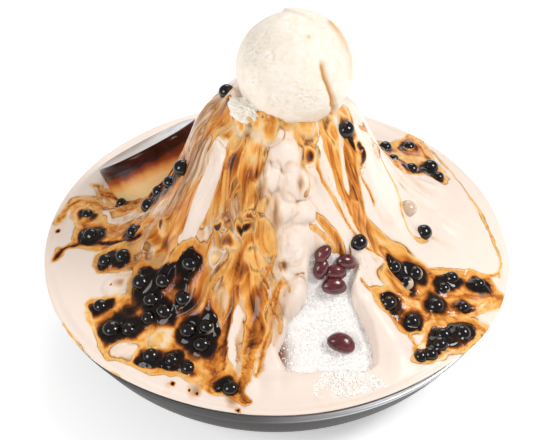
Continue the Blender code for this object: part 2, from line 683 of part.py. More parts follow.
def main():
    clear_scene()
    make_bowl()
    ice = make_ice()
    cream = make_cream()
    pudding_cutter = make_pudding()
    boolean(ice, pudding_cutter)
    boolean(cream, pudding_cutter)
    cream_cutter = object_from(raised_cream(GAP), "cream_cutter", "cream", helper=True)
    ice_cutter = object_from(raised_ice(SLOPE_GAP), "ice_cutter", "ice", helper=True)
    scoop = make_scoop(cream_cutter)
    bm = bmesh.new()
    bmesh.ops.create_icosphere(bm, subdivisions=3, radius=SCOOP_RADIUS + 4.6 * MM)
    bmesh.ops.translate(bm, vec=SCOOP_CENTRE, verts=bm.verts)
    scoop_cutter = object_from(bm, "scoop_cutter", "ice_cream", helper=True)
    make_heaps(cream_cutter, pudding_cutter, scoop_cutter)
    make_beans(ice_cutter, cream)
    apply_modifiers(cream)


main()
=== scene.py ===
"""Looks for the bingsu: marbled cream and syrup, glossy pearls and beans, shaved ice, pudding and scoop."""

import math
import random

import bmesh
import bpy
import numpy as np
from mathutils import Matrix, Vector


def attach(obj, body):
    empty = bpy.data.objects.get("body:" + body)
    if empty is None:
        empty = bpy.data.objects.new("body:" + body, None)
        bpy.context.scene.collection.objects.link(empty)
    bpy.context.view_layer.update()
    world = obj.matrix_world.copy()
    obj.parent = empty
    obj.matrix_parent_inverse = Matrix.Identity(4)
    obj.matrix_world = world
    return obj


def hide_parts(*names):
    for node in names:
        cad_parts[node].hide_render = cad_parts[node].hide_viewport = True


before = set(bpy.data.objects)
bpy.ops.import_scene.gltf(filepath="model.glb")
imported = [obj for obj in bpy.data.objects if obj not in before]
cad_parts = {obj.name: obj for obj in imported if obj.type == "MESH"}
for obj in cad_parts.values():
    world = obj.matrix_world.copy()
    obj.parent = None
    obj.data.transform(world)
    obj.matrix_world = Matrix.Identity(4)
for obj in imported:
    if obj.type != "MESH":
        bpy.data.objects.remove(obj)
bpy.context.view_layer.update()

MM = 0.001

# Sizes and places that repeat those of the part
RIM_RADIUS = 118 * MM
BOWL_HEIGHT = 44 * MM
BOWL_OUTSIDE = [(118, 43.3), (112.5, 33), (106.5, 23), (98, 13.5), (82, 6), (53, 0)]
BOWL_INSIDE = [(52, 3), (81, 9), (96, 17), (104, 26), (110, 35.5), (115, 44)]
PEAK = (2 * MM, 2 * MM)
CREAM_LEVEL = BOWL_HEIGHT + 2 * MM
MOUND_RADII = [0, 16, 31, 39, 47, 55, 64, 75, 88, 102, 118, 140]
MOUND_HEIGHTS = [88, 87, 83.5, 75, 60, 43, 28, 16, 8, 3, 0.6, 0]
PUDDING_SIDE = math.radians(150)
COLLAR_RADIUS, COLLAR_HALF_WIDTH, COLLAR_HEIGHT = 22 * MM, 6.5 * MM, 8.5 * MM
CREAM_THICKNESS = 4.6 * MM
ICE_REACH = 111.2 * MM
PEARL_RADIUS = 4.4 * MM
BEAN_LENGTH, BEAN_WIDTH = 12.6 * MM, 8.6 * MM
SYRUP_THICKNESS = 1.3 * MM
SCOOP_RADIUS = 26.6 * MM
SCOOP_CENTRE = Vector((8.4 * MM, -0.5 * MM, BOWL_HEIGHT + 112.0 * MM))
PUDDING_RADIUS, PUDDING_HEIGHT, CARAMEL_HEIGHT = 29.5 * MM, 26 * MM, 5 * MM
PUDDING_TOP = Vector((-69.0 * MM, 57.2 * MM, BOWL_HEIGHT + 21.6 * MM))
PUDDING_AXIS = Vector((-0.456, 0.454, 0.765)).normalized()

# The reference view of the 550 x 440 photograph
VIEW_ELEVATION = math.radians(43)
VIEW_DISTANCE = 718.3 * MM
VIEW_FOCAL = 1388.4
VIEW_CENTRE = (275.4, 245.2)

# Thick ropes of cream, as in the part: pixels along the crest, half width and height in millimetres
ROPES = {
    "front_crest": ([(284, 128), (284, 150), (282, 178), (296, 212), (304, 250), (298, 292)], 9, 4.6),
    "window_right": ([(346, 262), (357, 288), (372, 314), (390, 338), (402, 362), (396, 380)], 7, 4.2),
    "window_left": ([(292, 300), (282, 322), (272, 346), (268, 372), (276, 394)], 5, 2.4),
    "window_foot": ([(276, 394), (300, 384), (336, 380), (372, 380), (396, 380)], 6, 2.2),
    "right_fall": ([(356, 138), (366, 172), (380, 206), (398, 236)], 6, 2.6),
    "middle_fall": ([(322, 158), (330, 192), (350, 226), (372, 256), (402, 290)], 4.5, 2.2),
    "left_fall": ([(216, 132), (218, 162), (204, 196), (190, 232), (176, 262)], 6, 3.0),
    "outer_left_fall": ([(204, 118), (190, 154), (172, 196), (150, 240)], 4.5, 2.4),
    "amber_fall": ([(246, 150), (240, 186), (236, 224), (226, 262), (214, 306)], 5, 2.2),
    "front_left_fall": ([(256, 210), (246, 262), (238, 312), (226, 362), (222, 388)], 5, 2.4),
    "front_foot_fall": ([(276, 246), (266, 300), (252, 350), (250, 392)], 4, 2.0),
}
BACK_FALLS = 11
BACK_FALL_HALF_WIDTH, BACK_FALL_HEIGHT = 5.5 * MM, 2.6 * MM
ICE_WINDOW = [(311, 246), (330, 242), (352, 250), (358, 262), (352, 284), (356, 304), (368, 324),
              (374, 346), (374, 362), (360, 370), (336, 369), (306, 369), (286, 364), (276, 346),
              (284, 320), (306, 302), (308, 268)]
POOLS = {
    "front_left": (
        [(94, 304), (95, 327), (103, 342), (115, 352), (130, 356), (142, 361), (153, 366), (171, 366),
         (184, 371), (197, 378), (210, 385), (224, 392), (240, 394), (236, 380), (219, 362), (216, 340),
         (216, 318), (204, 300), (203, 262), (190, 252), (178, 266), (158, 270), (134, 272), (130, 288),
         (127, 300), (112, 301)],
        [(142, 283, 1.08), (165, 282, 1), (101, 307, 0.85), (153, 301, 1), (165, 312, 1), (184, 299, 1),
         (149, 319, 0.9), (112, 331, 1.1), (129, 331, 0.9), (191, 264, 0.95), (189, 331, 1),
         (207, 327, 0.9), (202, 345, 1), (151, 357, 0.95), (172, 361, 0.85), (188, 369, 0.8),
         (230, 389, 0.9)],
    ),
    "left_small": (
        [(95, 264), (98, 255), (107, 251), (121, 250), (132, 255), (131, 262), (121, 266), (107, 270),
         (98, 269)],
        [(106, 262, 0.9), (124, 257, 0.95)],
    ),
    "left": (
        [(80, 236), (84, 243), (99, 245), (115, 243), (127, 240), (139, 229), (131, 229), (121, 232),
         (107, 231), (101, 222), (95, 211), (89, 207), (79, 210), (77, 219), (82, 226)],
        [(92, 237, 1), (134, 233, 0.85), (88, 216, 0.75)],
    ),
    "pudding": (
        [(104, 194), (114, 202), (126, 214), (132, 208), (143, 208), (158, 204), (168, 192), (184, 176),
         (186, 164), (176, 166), (166, 182), (150, 192), (127, 200), (112, 194)],
        [(150, 207, 0.95), (183, 168, 0.95), (171, 183, 0.8), (160, 192, 0.8), (122, 204, 0.7)],
    ),
    "back_right": (
        [(379, 143), (388, 146), (399, 143), (408, 136), (419, 139), (425, 151), (430, 161), (439, 172),
         (441, 182), (433, 177), (424, 172), (412, 173), (402, 172), (393, 166), (387, 156)],
        [(409, 148, 0.8), (430, 168, 1), (438, 178, 0.75), (411, 170, 0.85), (393, 160, 0.7),
         (385, 148, 0.8)],
    ),
    "right": (
        [(384, 256), (394, 258), (414, 264), (431, 276), (443, 273), (466, 272), (480, 279), (490, 289),
         (498, 294), (490, 306), (476, 312), (458, 316), (436, 316), (418, 328), (402, 326), (384, 312),
         (380, 300), (396, 296), (414, 294), (400, 284), (388, 272)],
        [(393, 268, 0.85), (414, 274, 0.9), (405, 284, 0.85), (451, 279, 0.85), (443, 289, 0.75),
         (388, 304, 0.95), (435, 307, 1), (411, 322, 0.95), (463, 308, 0.75), (478, 285, 0.8)],
    ),
    "front_right": (
        [(416, 350), (428, 344), (434, 330), (450, 327), (470, 328), (474, 335), (462, 345), (448, 352),
         (432, 360), (417, 363)],
        [(443, 336, 0.9), (462, 334, 0.95), (440, 345, 0.9), (430, 355, 0.85), (420, 357, 0.75)],
    ),
}
SINGLE_PEARLS = {
    "scoop_left": (227, 92, 0.85),
    "scoop_right": (345, 130, 1.0),
    "slope_right": (358, 242, 0.95),
    "patch_covered": (407, 209, 1.0),
    "patch": (423, 233, 0.95),
}
BACK_PEARLS = [(78, 88), (84, 97), (91, 90), (97, 99), (104, 91)]
BACK_POOL_REACH = ((70, 78), (80, 74), (94, 76), (108, 84), (112, 95), (102, 105), (88, 104), (76, 100),
                   (69, 89))
BEANS = [(340, 344, 1.1, -18), (332, 285, 1.0, -5), (334, 271, 0.86, -8), (344, 261, 0.84, -20),
         (319, 268, 0.82, 75), (321, 253, 0.8, 60)]

# Falls down the mound, each over the ones before: pixels along them, half width in millimetres, the syrup in
# them and how far it has mixed in
FALLS = [
    ([(222, 92), (206, 118), (196, 150), (182, 186), (164, 216)], 8.0, 0.12, 0.72),
    ([(232, 150), (228, 185), (214, 216), (202, 246), (190, 276)], 8.0, 0.14, 0.66),
    ([(250, 140), (246, 176), (232, 214), (218, 250), (208, 290), (206, 330)], 7.0, 0.30, 0.66),
    ([(226, 250), (216, 290), (212, 340), (224, 384)], 7.5, 0.32, 0.5),
    ([(246, 280), (236, 310), (230, 350), (238, 388)], 5.0, 0.10, 0.45),
    ([(268, 300), (258, 330), (252, 370)], 4.0, 0.08, 0.35),
    ([(224, 108), (226, 138), (231, 158), (227, 182)], 5.5, 0.54, 0.30),
    ([(227, 178), (216, 202), (200, 228), (190, 262)], 1.6, 0.40, 0.4),
    ([(246, 112), (254, 138), (256, 166), (246, 190)], 6.0, 0.52, 0.35),
    ([(266, 186), (258, 212), (248, 240), (244, 268), (238, 298)], 7.5, 0.50, 0.15),
    ([(250, 240), (240, 262), (242, 282)], 6.0, 0.50, 0.05),
    ([(212, 318), (208, 350), (218, 384)], 4.6, 0.46, 0.2),
    ([(258, 290), (254, 330), (247, 366), (250, 398)], 3.0, 0.56, 0.1),
    ([(236, 290), (226, 326), (222, 360), (230, 390)], 2.4, 0.54, 0.2),
    ([(258, 120), (286, 118), (312, 112), (340, 104)], 6.5, 0.52, 0.15),
    ([(304, 120), (308, 150), (310, 168)], 5.5, 0.50, 0.15),
    ([(324, 118), (330, 152), (338, 182), (352, 210)], 4.4, 0.52, 0.05),
    ([(346, 112), (349, 150), (354, 184), (354, 206)], 4.0, 0.60, 0.05),
    ([(353, 204), (366, 226), (384, 246), (410, 268)], 4.6, 0.52, 0.05),
    ([(316, 134), (320, 160), (330, 190), (346, 216), (366, 240)], 1.5, 0.06, 0.1),
    ([(339, 130), (341, 160), (348, 190)], 1.2, 0.05, 0.1),
    ([(172, 222), (160, 238), (146, 252)], 6.0, 0.40, 0.6),
    ([(200, 196), (182, 226), (164, 248)], 5.0, 0.42, 0.5),
    ([(366, 130), (372, 152), (380, 170)], 3.0, 0.30, 0.45),
    ([(314, 180), (322, 208), (338, 236), (352, 256)], 4.5, 0.05, 0.1),
]
# Streams of syrup over the cream: pixels along them, half width in millimetres, and strength from 0.3, a thin
# glaze, to 1, near black
STREAMS = [
    ([(232, 130), (250, 134), (270, 132), (290, 126)], 1.0, 0.62),
    ([(345, 116), (352, 138), (353, 150)], 2.4, 0.84),
    ([(303, 168), (309, 182), (304, 203), (313, 214), (332, 232), (344, 244)], 0.9, 0.6),
    ([(311, 226), (330, 238), (344, 250), (354, 262)], 0.4, 0.5),
    ([(354, 236), (372, 252), (392, 266)], 0.6, 0.6),
    ([(316, 148), (318, 176), (332, 200), (350, 226), (362, 242)], 0.7, 0.55),
    ([(240, 186), (226, 206), (214, 236), (206, 262)], 0.8, 0.55),
    ([(204, 122), (196, 148), (184, 178), (170, 206)], 0.6, 0.5),
    ([(212, 112), (204, 140), (192, 172), (176, 204)], 0.6, 0.45),
    ([(262, 212), (274, 232), (272, 262), (262, 286)], 0.8, 0.5),
    ([(286, 252), (280, 270), (288, 292)], 0.7, 0.45),
    ([(352, 152), (362, 178), (372, 200)], 0.7, 0.6),
    ([(372, 140), (386, 168), (398, 192), (404, 226), (418, 244), (428, 242)], 0.8, 0.45),
    ([(421, 140), (449, 168), (470, 196), (491, 231), (501, 259), (500, 277)], 0.8, 0.42),
    ([(431, 270), (466, 268), (491, 277), (500, 274)], 0.9, 0.5),
    ([(362, 280), (379, 298), (398, 318), (414, 343), (418, 360)], 0.7, 0.56),
    ([(380, 250), (392, 262), (414, 268), (440, 284), (470, 290), (496, 296)], 3.2, 0.6),
    ([(386, 276), (403, 298), (430, 300), (460, 300), (492, 296)], 3.0, 0.55),
    ([(416, 318), (440, 320), (470, 322), (484, 330)], 3.6, 0.5),
    ([(408, 140), (420, 146), (428, 160), (442, 178)], 3.4, 0.56),
    ([(302, 272), (290, 276), (278, 284), (268, 306)], 0.9, 0.52),
    ([(277, 290), (268, 314), (264, 344), (258, 372)], 1.4, 0.52),
    ([(53, 259), (66, 246), (88, 243), (120, 244), (138, 236)], 1.8, 0.8),
    ([(56, 226), (66, 208), (84, 200), (105, 207), (123, 212), (136, 208)], 3.0, 0.54),
    ([(95, 186), (104, 196), (124, 200), (150, 198), (176, 180)], 2.2, 0.62),
    ([(138, 226), (165, 217), (189, 206), (206, 186)], 3.0, 0.44),
    ([(98, 273), (119, 268), (147, 259), (175, 240)], 1.4, 0.56),
    ([(184, 318), (200, 352), (218, 380), (246, 400)], 2.4, 0.6),
    ([(150, 330), (162, 344), (180, 352)], 3.4, 0.5),
    ([(64, 322), (76, 342), (98, 366), (132, 384), (170, 398), (214, 412)], 0.7, 0.36),
]
# Ridges of clean cream: pixels along them and half width in millimetres
CLEAN = [
    ([(285, 152), (286, 180), (292, 204), (300, 226), (300, 256), (298, 282), (298, 302)], 8.0),
    ([(346, 262), (357, 288), (372, 314), (388, 336), (400, 356), (396, 372)], 7.5),
    ([(292, 302), (284, 322), (276, 346)], 3.0),
    ([(284, 372), (284, 392), (262, 388)], 6.0),
    ([(372, 152), (392, 186), (406, 206), (424, 226)], 8.0),
    ([(312, 168), (322, 200), (344, 232)], 3.2),
    ([(318, 198), (328, 222), (340, 242)], 6.0),
    ([(220, 148), (216, 168), (204, 196), (192, 224), (187, 236)], 4.6),
    ([(186, 240), (172, 266), (160, 284)], 2.0),
    ([(240, 312), (228, 346), (230, 380)], 2.4),
]
# Patches inside the pools: pixel, radius in millimetres, and the syrup there, low where cream shows through
PATCHES = [
    (157, 341, 5.5, 0.42), (176, 299, 3.5, 0.40), (132, 347, 3.5, 0.10), (150, 331, 3.0, 0.5),
    (200, 366, 4.5, 0.45), (170, 345, 3.5, 0.36), (128, 312, 4.5, 0.95), (112, 331, 6.0, 0.98),
    (186, 372, 3.0, 0.5), (222, 374, 4.0, 0.42), (196, 290, 4.0, 0.48), (140, 300, 3.5, 0.9),
    (420, 292, 4.0, 0.44), (452, 300, 4.0, 0.46), (440, 322, 4.5, 0.44), (474, 302, 4.0, 0.40),
    (400, 292, 3.0, 0.46), (410, 150, 4.0, 0.5), (424, 146, 3.5, 0.45), (84, 222, 3.5, 0.45),
    (100, 232, 3.0, 0.9), (128, 206, 3.0, 0.5), (452, 344, 3.0, 0.85),
]
# Pearls and beans that the cream covers, and lobes of cream: pixel, radius and height in millimetres, and how
# much syrup shows on top
BUMPS = [
    (221, 224, 4.4, 3.2, 0.84), (244, 229, 4.4, 3.4, 0.86), (231, 242, 4.6, 3.4, 0.74),
    (251, 213, 4.2, 2.8, 0.76), (262, 206, 5.0, 3.0, 0.42), (274, 212, 4.4, 2.6, 0.3),
    (165, 227, 3.8, 2.4, 0.82), (148, 252, 4.2, 2.4, 0.3), (307, 152, 4.4, 3.2, 0.76),
    (361, 156, 3.6, 2.4, 0.82), (376, 151, 3.4, 2.0, 0.7), (122, 350, 4.0, 2.2, 0.16),
    (134, 353, 3.8, 2.0, 0.16), (160, 342, 5.0, 1.6, 0.4), (173, 385, 3.2, 1.2, 0.2),
    (193, 392, 3.4, 1.2, 0.2), (238, 408, 3.2, 1.0, 0.2), (285, 150, 7.0, 7.5, 0.0),
    (297, 183, 7.6, 7.0, 0.0), (268, 178, 6.0, 5.0, 0.05), (302, 299, 7.6, 8.0, 0.0),
    (304, 262, 6.5, 4.4, 0.0), (326, 116, 5.6, 3.6, 0.5), (272, 126, 5.6, 3.8, 0.54),
    (242, 130, 5.2, 3.0, 0.5), (302, 120, 5.8, 4.0, 0.48), (256, 124, 5.0, 3.0, 0.5),
    (340, 112, 5.0, 3.0, 0.5), (112, 286, 5.2, 1.4, 0.0), (58, 232, 4.4, 1.6, 0.1),
    (326, 398, 4.4, 1.2, 0.0), (281, 208, 6.6, 6.0, 0.0), (304, 212, 5.6, 5.0, 0.0),
    (288, 250, 6.4, 5.0, 0.0), (256, 150, 5.0, 2.4, 0.5), (228, 140, 5.0, 2.4, 0.5),
    (332, 138, 4.0, 2.0, 0.5), (296, 236, 5.0, 1.8, 0.0), (218, 262, 4.6, 2.0, 0.3),
    (204, 236, 4.4, 1.8, 0.2), (254, 262, 4.6, 2.2, 0.46), (286, 276, 4.4, 1.8, 0.0),
]

# Dark specks in the cream, and grey smudges: pearls that show through it, and painted shade below lumps of the
# crest; pixel and radius in millimetres
SPECKS = [(173, 385, 1.1), (189, 391, 0.8), (197, 394, 1.0), (238, 409, 1.0), (58, 231, 1.5), (112, 286, 0.6)]
GREY_SMUDGES_AND_SHADE = [(262, 176, 2.6), (259, 190, 3.0), (300, 190, 2.4), (272, 214, 3.0), (262, 292, 2.0),
           (194, 389, 3.4), (118, 284, 2.6), (233, 400, 2.6), (222, 246, 2.6), (281, 268, 2.4)]
# Pearls with a veil of cream: pixel, and how much of it is covered
VEILED = {
    (407, 209): 1.0, (184, 299): 0.45, (207, 327): 0.5, (405, 284): 0.6, (443, 289): 0.5, (191, 264): 0.4,
    (411, 170): 0.4, (414, 274): 0.4,
}
# A second place where the ice comes through the cream, near the rim, as an outline in pixels
FROST = [(308, 384), (322, 377), (344, 374), (364, 375), (380, 380), (388, 388), (372, 392), (350, 395),
         (326, 399), (312, 394)]

# Points round the cream and its rings: over the mound, out to the lip, and down round the hem
ROUND, RINGS = 680, 250
LIP_RINGS, HEM_RINGS = 8, 9
# What the cream's material reads at each point
MARBLING = ("syrup", "mixed_and_shade", "flank", "flow")


def srgb(*colour):
    """An 8-bit colour as the shader's linear one."""
    return [c / 255 / 12.92 if c < 10 else ((c / 255 + 0.055) / 1.055) ** 2.4 for c in colour] + [1.0]


# Noise and curves


def lattice(ix, iy, iz, seed):
    """Repeatable values from -1 to 1 at whole numbers."""
    h = (ix * 374761393 + iy * 668265263 + iz * 1440662683 + seed * 974634777) & 0xFFFFFFFF
    h = ((h ^ (h >> 13)) * 1274126177) & 0xFFFFFFFF
    return ((h ^ (h >> 16)) & 0xFFFF) / 32767.5 - 1


def noise(x, y, z, seed=0):
    """Smooth noise from -1 to 1 that changes over about one unit."""
    x, y, z = np.broadcast_arrays(np.asarray(x, float), np.asarray(y, float), np.asarray(z, float))
    ix, iy, iz = (np.floor(v).astype(np.int64) for v in (x, y, z))
    fx, fy, fz = x - ix, y - iy, z - iz
    fx, fy, fz = (f * f * f * (f * (f * 6 - 15) + 10) for f in (fx, fy, fz))
    total = 0
    for dx in (0, 1):
        for dy in (0, 1):
            for dz in (0, 1):
                weight = (fx if dx else 1 - fx) * (fy if dy else 1 - fy) * (fz if dz else 1 - fz)
                total = total + weight * lattice(ix + dx, iy + dy, iz + dz, seed)
    return total


def fractal(x, y, z, seed=0, octaves=3):
    """Noise with finer noise added to it, from -1 to 1."""
    total, size, gain = 0, 1.0, 0.0
    for i in range(octaves):
        total = total + noise(x / size, y / size, z / size, seed + i) * size
        gain += size
        size *= 0.5
    return total / gain


def smooth_curve(x, xs, ys):
    """A curve without overshoot through the points (xs, ys), read at x."""
    xs, ys = np.array(xs, float), np.array(ys, float)
    slopes = np.diff(ys) / np.diff(xs)
    tangents = np.zeros(len(xs))
    same = slopes[:-1] * slopes[1:] > 0
    both = slopes[:-1] + slopes[1:]
    tangents[1:-1][same] = 2 * slopes[:-1][same] * slopes[1:][same] / both[same]
    x = np.clip(x, xs[0], xs[-1])
    i = np.clip(np.searchsorted(xs, x) - 1, 0, len(xs) - 2)
    step = xs[i + 1] - xs[i]
    t = (x - xs[i]) / step
    return (
        ys[i] * (1 + 2 * t) * (1 - t) ** 2
        + tangents[i] * step * t * (1 - t) ** 2
        + ys[i + 1] * t**2 * (3 - 2 * t)
        - tangents[i + 1] * step * t**2 * (1 - t)
    )


def rise(x, low, high):
    """0 below low, 1 above high, and smooth between."""
    t = np.clip((x - low) / (high - low), 0, 1)
    return t * t * (3 - 2 * t)


# Places


def mound_height(x, y):
    """The mound above the level cream, drawn in at the side where the pudding leans."""
    dx, dy = x - PEAK[0], y - PEAK[1]
    angle = np.arctan2(dy, dx)
    off = np.abs((angle - PUDDING_SIDE + math.pi) % (2 * math.pi) - math.pi)
    distance = np.hypot(dx, dy) / MM
    drawn_in = 0.14 * np.exp(-((off / 0.6) ** 2)) * np.clip((distance - 29) / 16, 0, 1)
    spread = 1 + 0.05 * np.cos(angle + 2.0) + 0.02 * np.cos(2 * angle - 0.4) - drawn_in
    return smooth_curve(distance / spread, MOUND_RADII, MOUND_HEIGHTS) * MM


def sight_line(column, row):
    """The eye of the reference view and the direction through a pixel."""
    ahead = Vector((0, math.cos(VIEW_ELEVATION), -math.sin(VIEW_ELEVATION)))
    up = Vector((0, math.sin(VIEW_ELEVATION), math.cos(VIEW_ELEVATION)))
    eye = Vector((0, 0, BOWL_HEIGHT)) - ahead * VIEW_DISTANCE
    across, down = column - VIEW_CENTRE[0], row - VIEW_CENTRE[1]
    return eye, (ahead * VIEW_FOCAL + Vector((1, 0, 0)) * across - up * down).normalized()


def landing(column, row, height=mound_height, sink=0.0):
    """Where the line of sight through a pixel meets the surface, a distance sink under it."""
    eye, direction = sight_line(column, row)
    along = np.linspace(VIEW_DISTANCE * 0.6, VIEW_DISTANCE * 1.4, 1200)
    points = np.array(eye) + along[:, None] * np.array(direction)
    above = points[:, 2] - CREAM_LEVEL + sink - height(points[:, 0], points[:, 1])
    return Vector(points[int(np.argmax(above < 0))])


def plan_line(pixels):
    return [landing(*pixel).xy for pixel in pixels]


def distance_to_line(x, y, line):
    """The distance in plan from (x, y) to a polyline, and how far along it the nearest point is, 0 to 1."""
    best, along = np.full(np.shape(x), 1e9), np.zeros(np.shape(x))
    for i, (a, b) in enumerate(zip(line[:-1], line[1:])):
        d = b - a
        t = np.clip(((x - a.x) * d.x + (y - a.y) * d.y) / d.length_squared, 0, 1)
        distance = np.hypot(x - a.x - t * d.x, y - a.y - t * d.y)
        nearer = distance < best
        best = np.where(nearer, distance, best)
        along = np.where(nearer, (i + t) / (len(line) - 1), along)
    return best, along


def rounded(line, times=2):
    """A polyline with its corners cut, as a smooth stream."""
    for _ in range(times):
        made = [line[0]]
        for a, b in zip(line[:-1], line[1:]):
            made += [a * 0.75 + b * 0.25, a * 0.25 + b * 0.75]
        line = made + [line[-1]]
    return line


def inside(x, y, outline):
    found = np.zeros(np.shape(x), bool)
    for a, b in zip(outline, outline[1:] + outline[:1]):
        crosses = (a.y > y) != (b.y > y)
        side = a.x + (y - a.y) * (b.x - a.x) / (b.y - a.y if b.y != a.y else 1e-12)
        found ^= crosses & (x < side)
    return found


def depth_inside(x, y, outline):
    """The distance in plan from an outline, positive inside it."""
    distance, _ = distance_to_line(x, y, outline + outline[:1])
    return np.where(inside(x, y, outline), distance, -distance)


def back_falls():
    rng = random.Random(7)
    falls = []
    for i in range(BACK_FALLS):
        angle = math.radians(8 + 164 * i / (BACK_FALLS - 1) + rng.uniform(-5, 5))
        lean = math.radians(rng.uniform(-10, 10))
        reach = rng.uniform(78, 100) * MM
        line = []
        for step in range(4):
            radius = 30 * MM + (reach - 30 * MM) * step / 3
            turned = angle + lean * (step / 3) ** 2
            line.append(Vector((PEAK[0] + radius * math.cos(turned), PEAK[1] + radius * math.sin(turned))))
        falls.append(line)
    return falls


ROPE_LINES = [(plan_line(pixels), width * MM, height * MM) for pixels, width, height in ROPES.values()]
ROPE_LINES += [(line, BACK_FALL_HALF_WIDTH, BACK_FALL_HEIGHT) for line in back_falls()]
POOL_LINES = {name: plan_line(outline) for name, (outline, _) in POOLS.items()}
POOL_LINES["back"] = [
    Vector((reach * MM * math.cos(math.radians(turn)), reach * MM * math.sin(math.radians(turn))))
    for turn, reach in BACK_POOL_REACH
]
WINDOW_LINE = plan_line(ICE_WINDOW)


def cream_height(x, y):
    """The top of the cream as in the part: the mound, its ropes, and the hollows that the syrup fills."""
    x, y = np.asarray(x, float), np.asarray(y, float)
    ropes = np.zeros(np.shape(x))
    for line, half_width, height in ROPE_LINES:
        distance, along = distance_to_line(x, y, line)
        lumps = 1 + 0.25 * np.sin(along * 17 + half_width * 900)
        ropes = np.maximum(ropes, height * lumps * np.exp(-((distance / half_width) ** 2)))
    hollow = np.zeros(np.shape(x))
    for line in POOL_LINES.values():
        hollow = np.maximum(hollow, np.clip(depth_inside(x, y, line) / (3 * MM) + 0.5, 0, 1))
    settle = np.clip((RIM_RADIUS - 4 * MM - np.hypot(x, y)) / (14 * MM), 0, 1)
    from_peak = np.hypot(x - PEAK[0], y - PEAK[1])
    top_cap = np.clip((from_peak - 20 * MM) / (12 * MM), 0, 1)
    collar = COLLAR_HEIGHT * np.exp(-(((from_peak - COLLAR_RADIUS) / COLLAR_HALF_WIDTH) ** 2))
    return mound_height(x, y) + ropes * settle * top_cap + collar - SYRUP_THICKNESS * hollow * settle


def ice_height(x, y):
    """The height of the ice itself, not above the level cream."""
    low = BOWL_HEIGHT - 4.4 * MM
    height = CREAM_LEVEL + mound_height(x, y) - CREAM_THICKNESS - 1.2 * MM
    edge = np.clip((109 * MM - np.hypot(x, y)) / (16 * MM), 0, 1)
    return low + (height - low) * edge * edge * (3 - 2 * edge)


def rim_reach(angle):
    """How far the cream reaches: short of the lip along the front, and over it at the right."""
    bare = 3.2 * MM * np.exp(-(((angle + 1.50) / 0.76) ** 4))
    spill = 1.4 * MM * np.exp(-(((angle + 0.35) / 0.35) ** 4))
    return RIM_RADIUS + 0.4 * MM - bare + spill


def outward(x, y, height):
    e = 2 * MM
    across, along = height(x - e, y) - height(x + e, y), height(x, y - e) - height(x, y + e)
    return Vector((float(across), float(along), 2 * e)).normalized()


def slope_distance(x, y, place):
    """The distance from a place, measured along the slope that the mound has there."""
    out = outward(place.x, place.y, mound_height)
    dx, dy = x - place.x, y - place.y
    return np.sqrt(dx**2 + dy**2 + ((out.x * dx + out.y * dy) / out.z) ** 2)


# Syrup over the cream


def flow_place(x, y, warp=1.0):
    """The way down the mound as an angle and a distance, bent as poured cream bends."""
    dx, dy = x - PEAK[0], y - PEAK[1]
    radius = np.hypot(dx, dy)
    angle = np.arctan2(dy, dx)
    broad = noise(x / (26 * MM), y / (26 * MM), 3.1, 11) * 0.16
    bend = broad + noise(x / (10 * MM), y / (10 * MM), 7.7, 12) * 0.09
    return angle + bend * warp, radius


def streaks(angle, radius, count, length, seed):
    """Noise drawn out along the way down: count waves round the mound, each this long."""
    return noise(np.cos(angle) * count, np.sin(angle) * count, radius / length, seed)


def ribbons(angle, radius):
    """Ribbons of poured cream as three noises, broad to fine, whose zeros are the creases between them."""
    broad = streaks(angle, radius, 5.5, 70 * MM, 31)
    fine = streaks(angle + 0.12 * broad, radius, 13, 40 * MM, 32)
    hair = streaks(angle + 0.08 * fine, radius, 34, 30 * MM, 33)
    return broad, fine, hair


def crease(field, width):
    """1 in the creases of a noise, falling to 0 at this value of it."""
    return np.exp(-((field / width) ** 2))


def sector(angle, centre, half):
    """1 where the way down faces centre, falling to 0 at a half width away, in degrees."""
    off = np.abs((np.degrees(angle) - centre + 180) % 360 - 180)
    return rise(-off, -half, -half * 0.45)


def cleared(wx, wy):
    """1 on the ridges of clean cream and 0 beside them."""
    clean = np.zeros(np.shape(wx))
    for pixels, width in CLEAN:
        distance, _ = distance_to_line(wx, wy, painted(pixels))
        wide = width * MM * (1 + 0.25 * noise(wx / (7 * MM), wy / (7 * MM), 6.6, 43))
        clean = np.maximum(clean, rise(-distance, -wide, -wide * 0.78))
    return clean


def painted(pixels):
    """A smooth line in plan through pixels of the cream's own surface."""
    return rounded([landing(*pixel, cream_height).xy for pixel in pixels], 1)


def swirled(x, y, reach):
    """(x, y) moved about by noise, so that drawn outlines become liquid ones."""
    wide, narrow = 13 * MM, 4.5 * MM
    ax = noise(x / wide, y / wide, 1.3, 21) * reach + noise(x / narrow, y / narrow, 4.1, 22) * reach * 0.4
    ay = noise(x / wide, y / wide, 9.3, 23) * reach + noise(x / narrow, y / narrow, 6.1, 24) * reach * 0.4
    return x + ax, y + ay


def stream(x, y, wx, wy, pixels, width, strength, fine, hair):
    """The syrup of one stream, darker in threads along it."""
    bent = 1 if width > 1.1 else 0.45
    distance, _ = distance_to_line(x + (wx - x) * bent, y + (wy - y) * bent, painted(pixels))
    half = width * MM * (1 + 0.45 * noise(x / (6 * MM), y / (6 * MM), 2.2, 41))
    strand = 0.08 * np.cos(distance / half * 5.0 + fine * 2.5) - 0.07 * (distance < half) * crease(hair, 0.3)
    return (strength + 0.08 * fine + strand) * np.clip(1.35 - distance / half * 0.75, 0, 1)


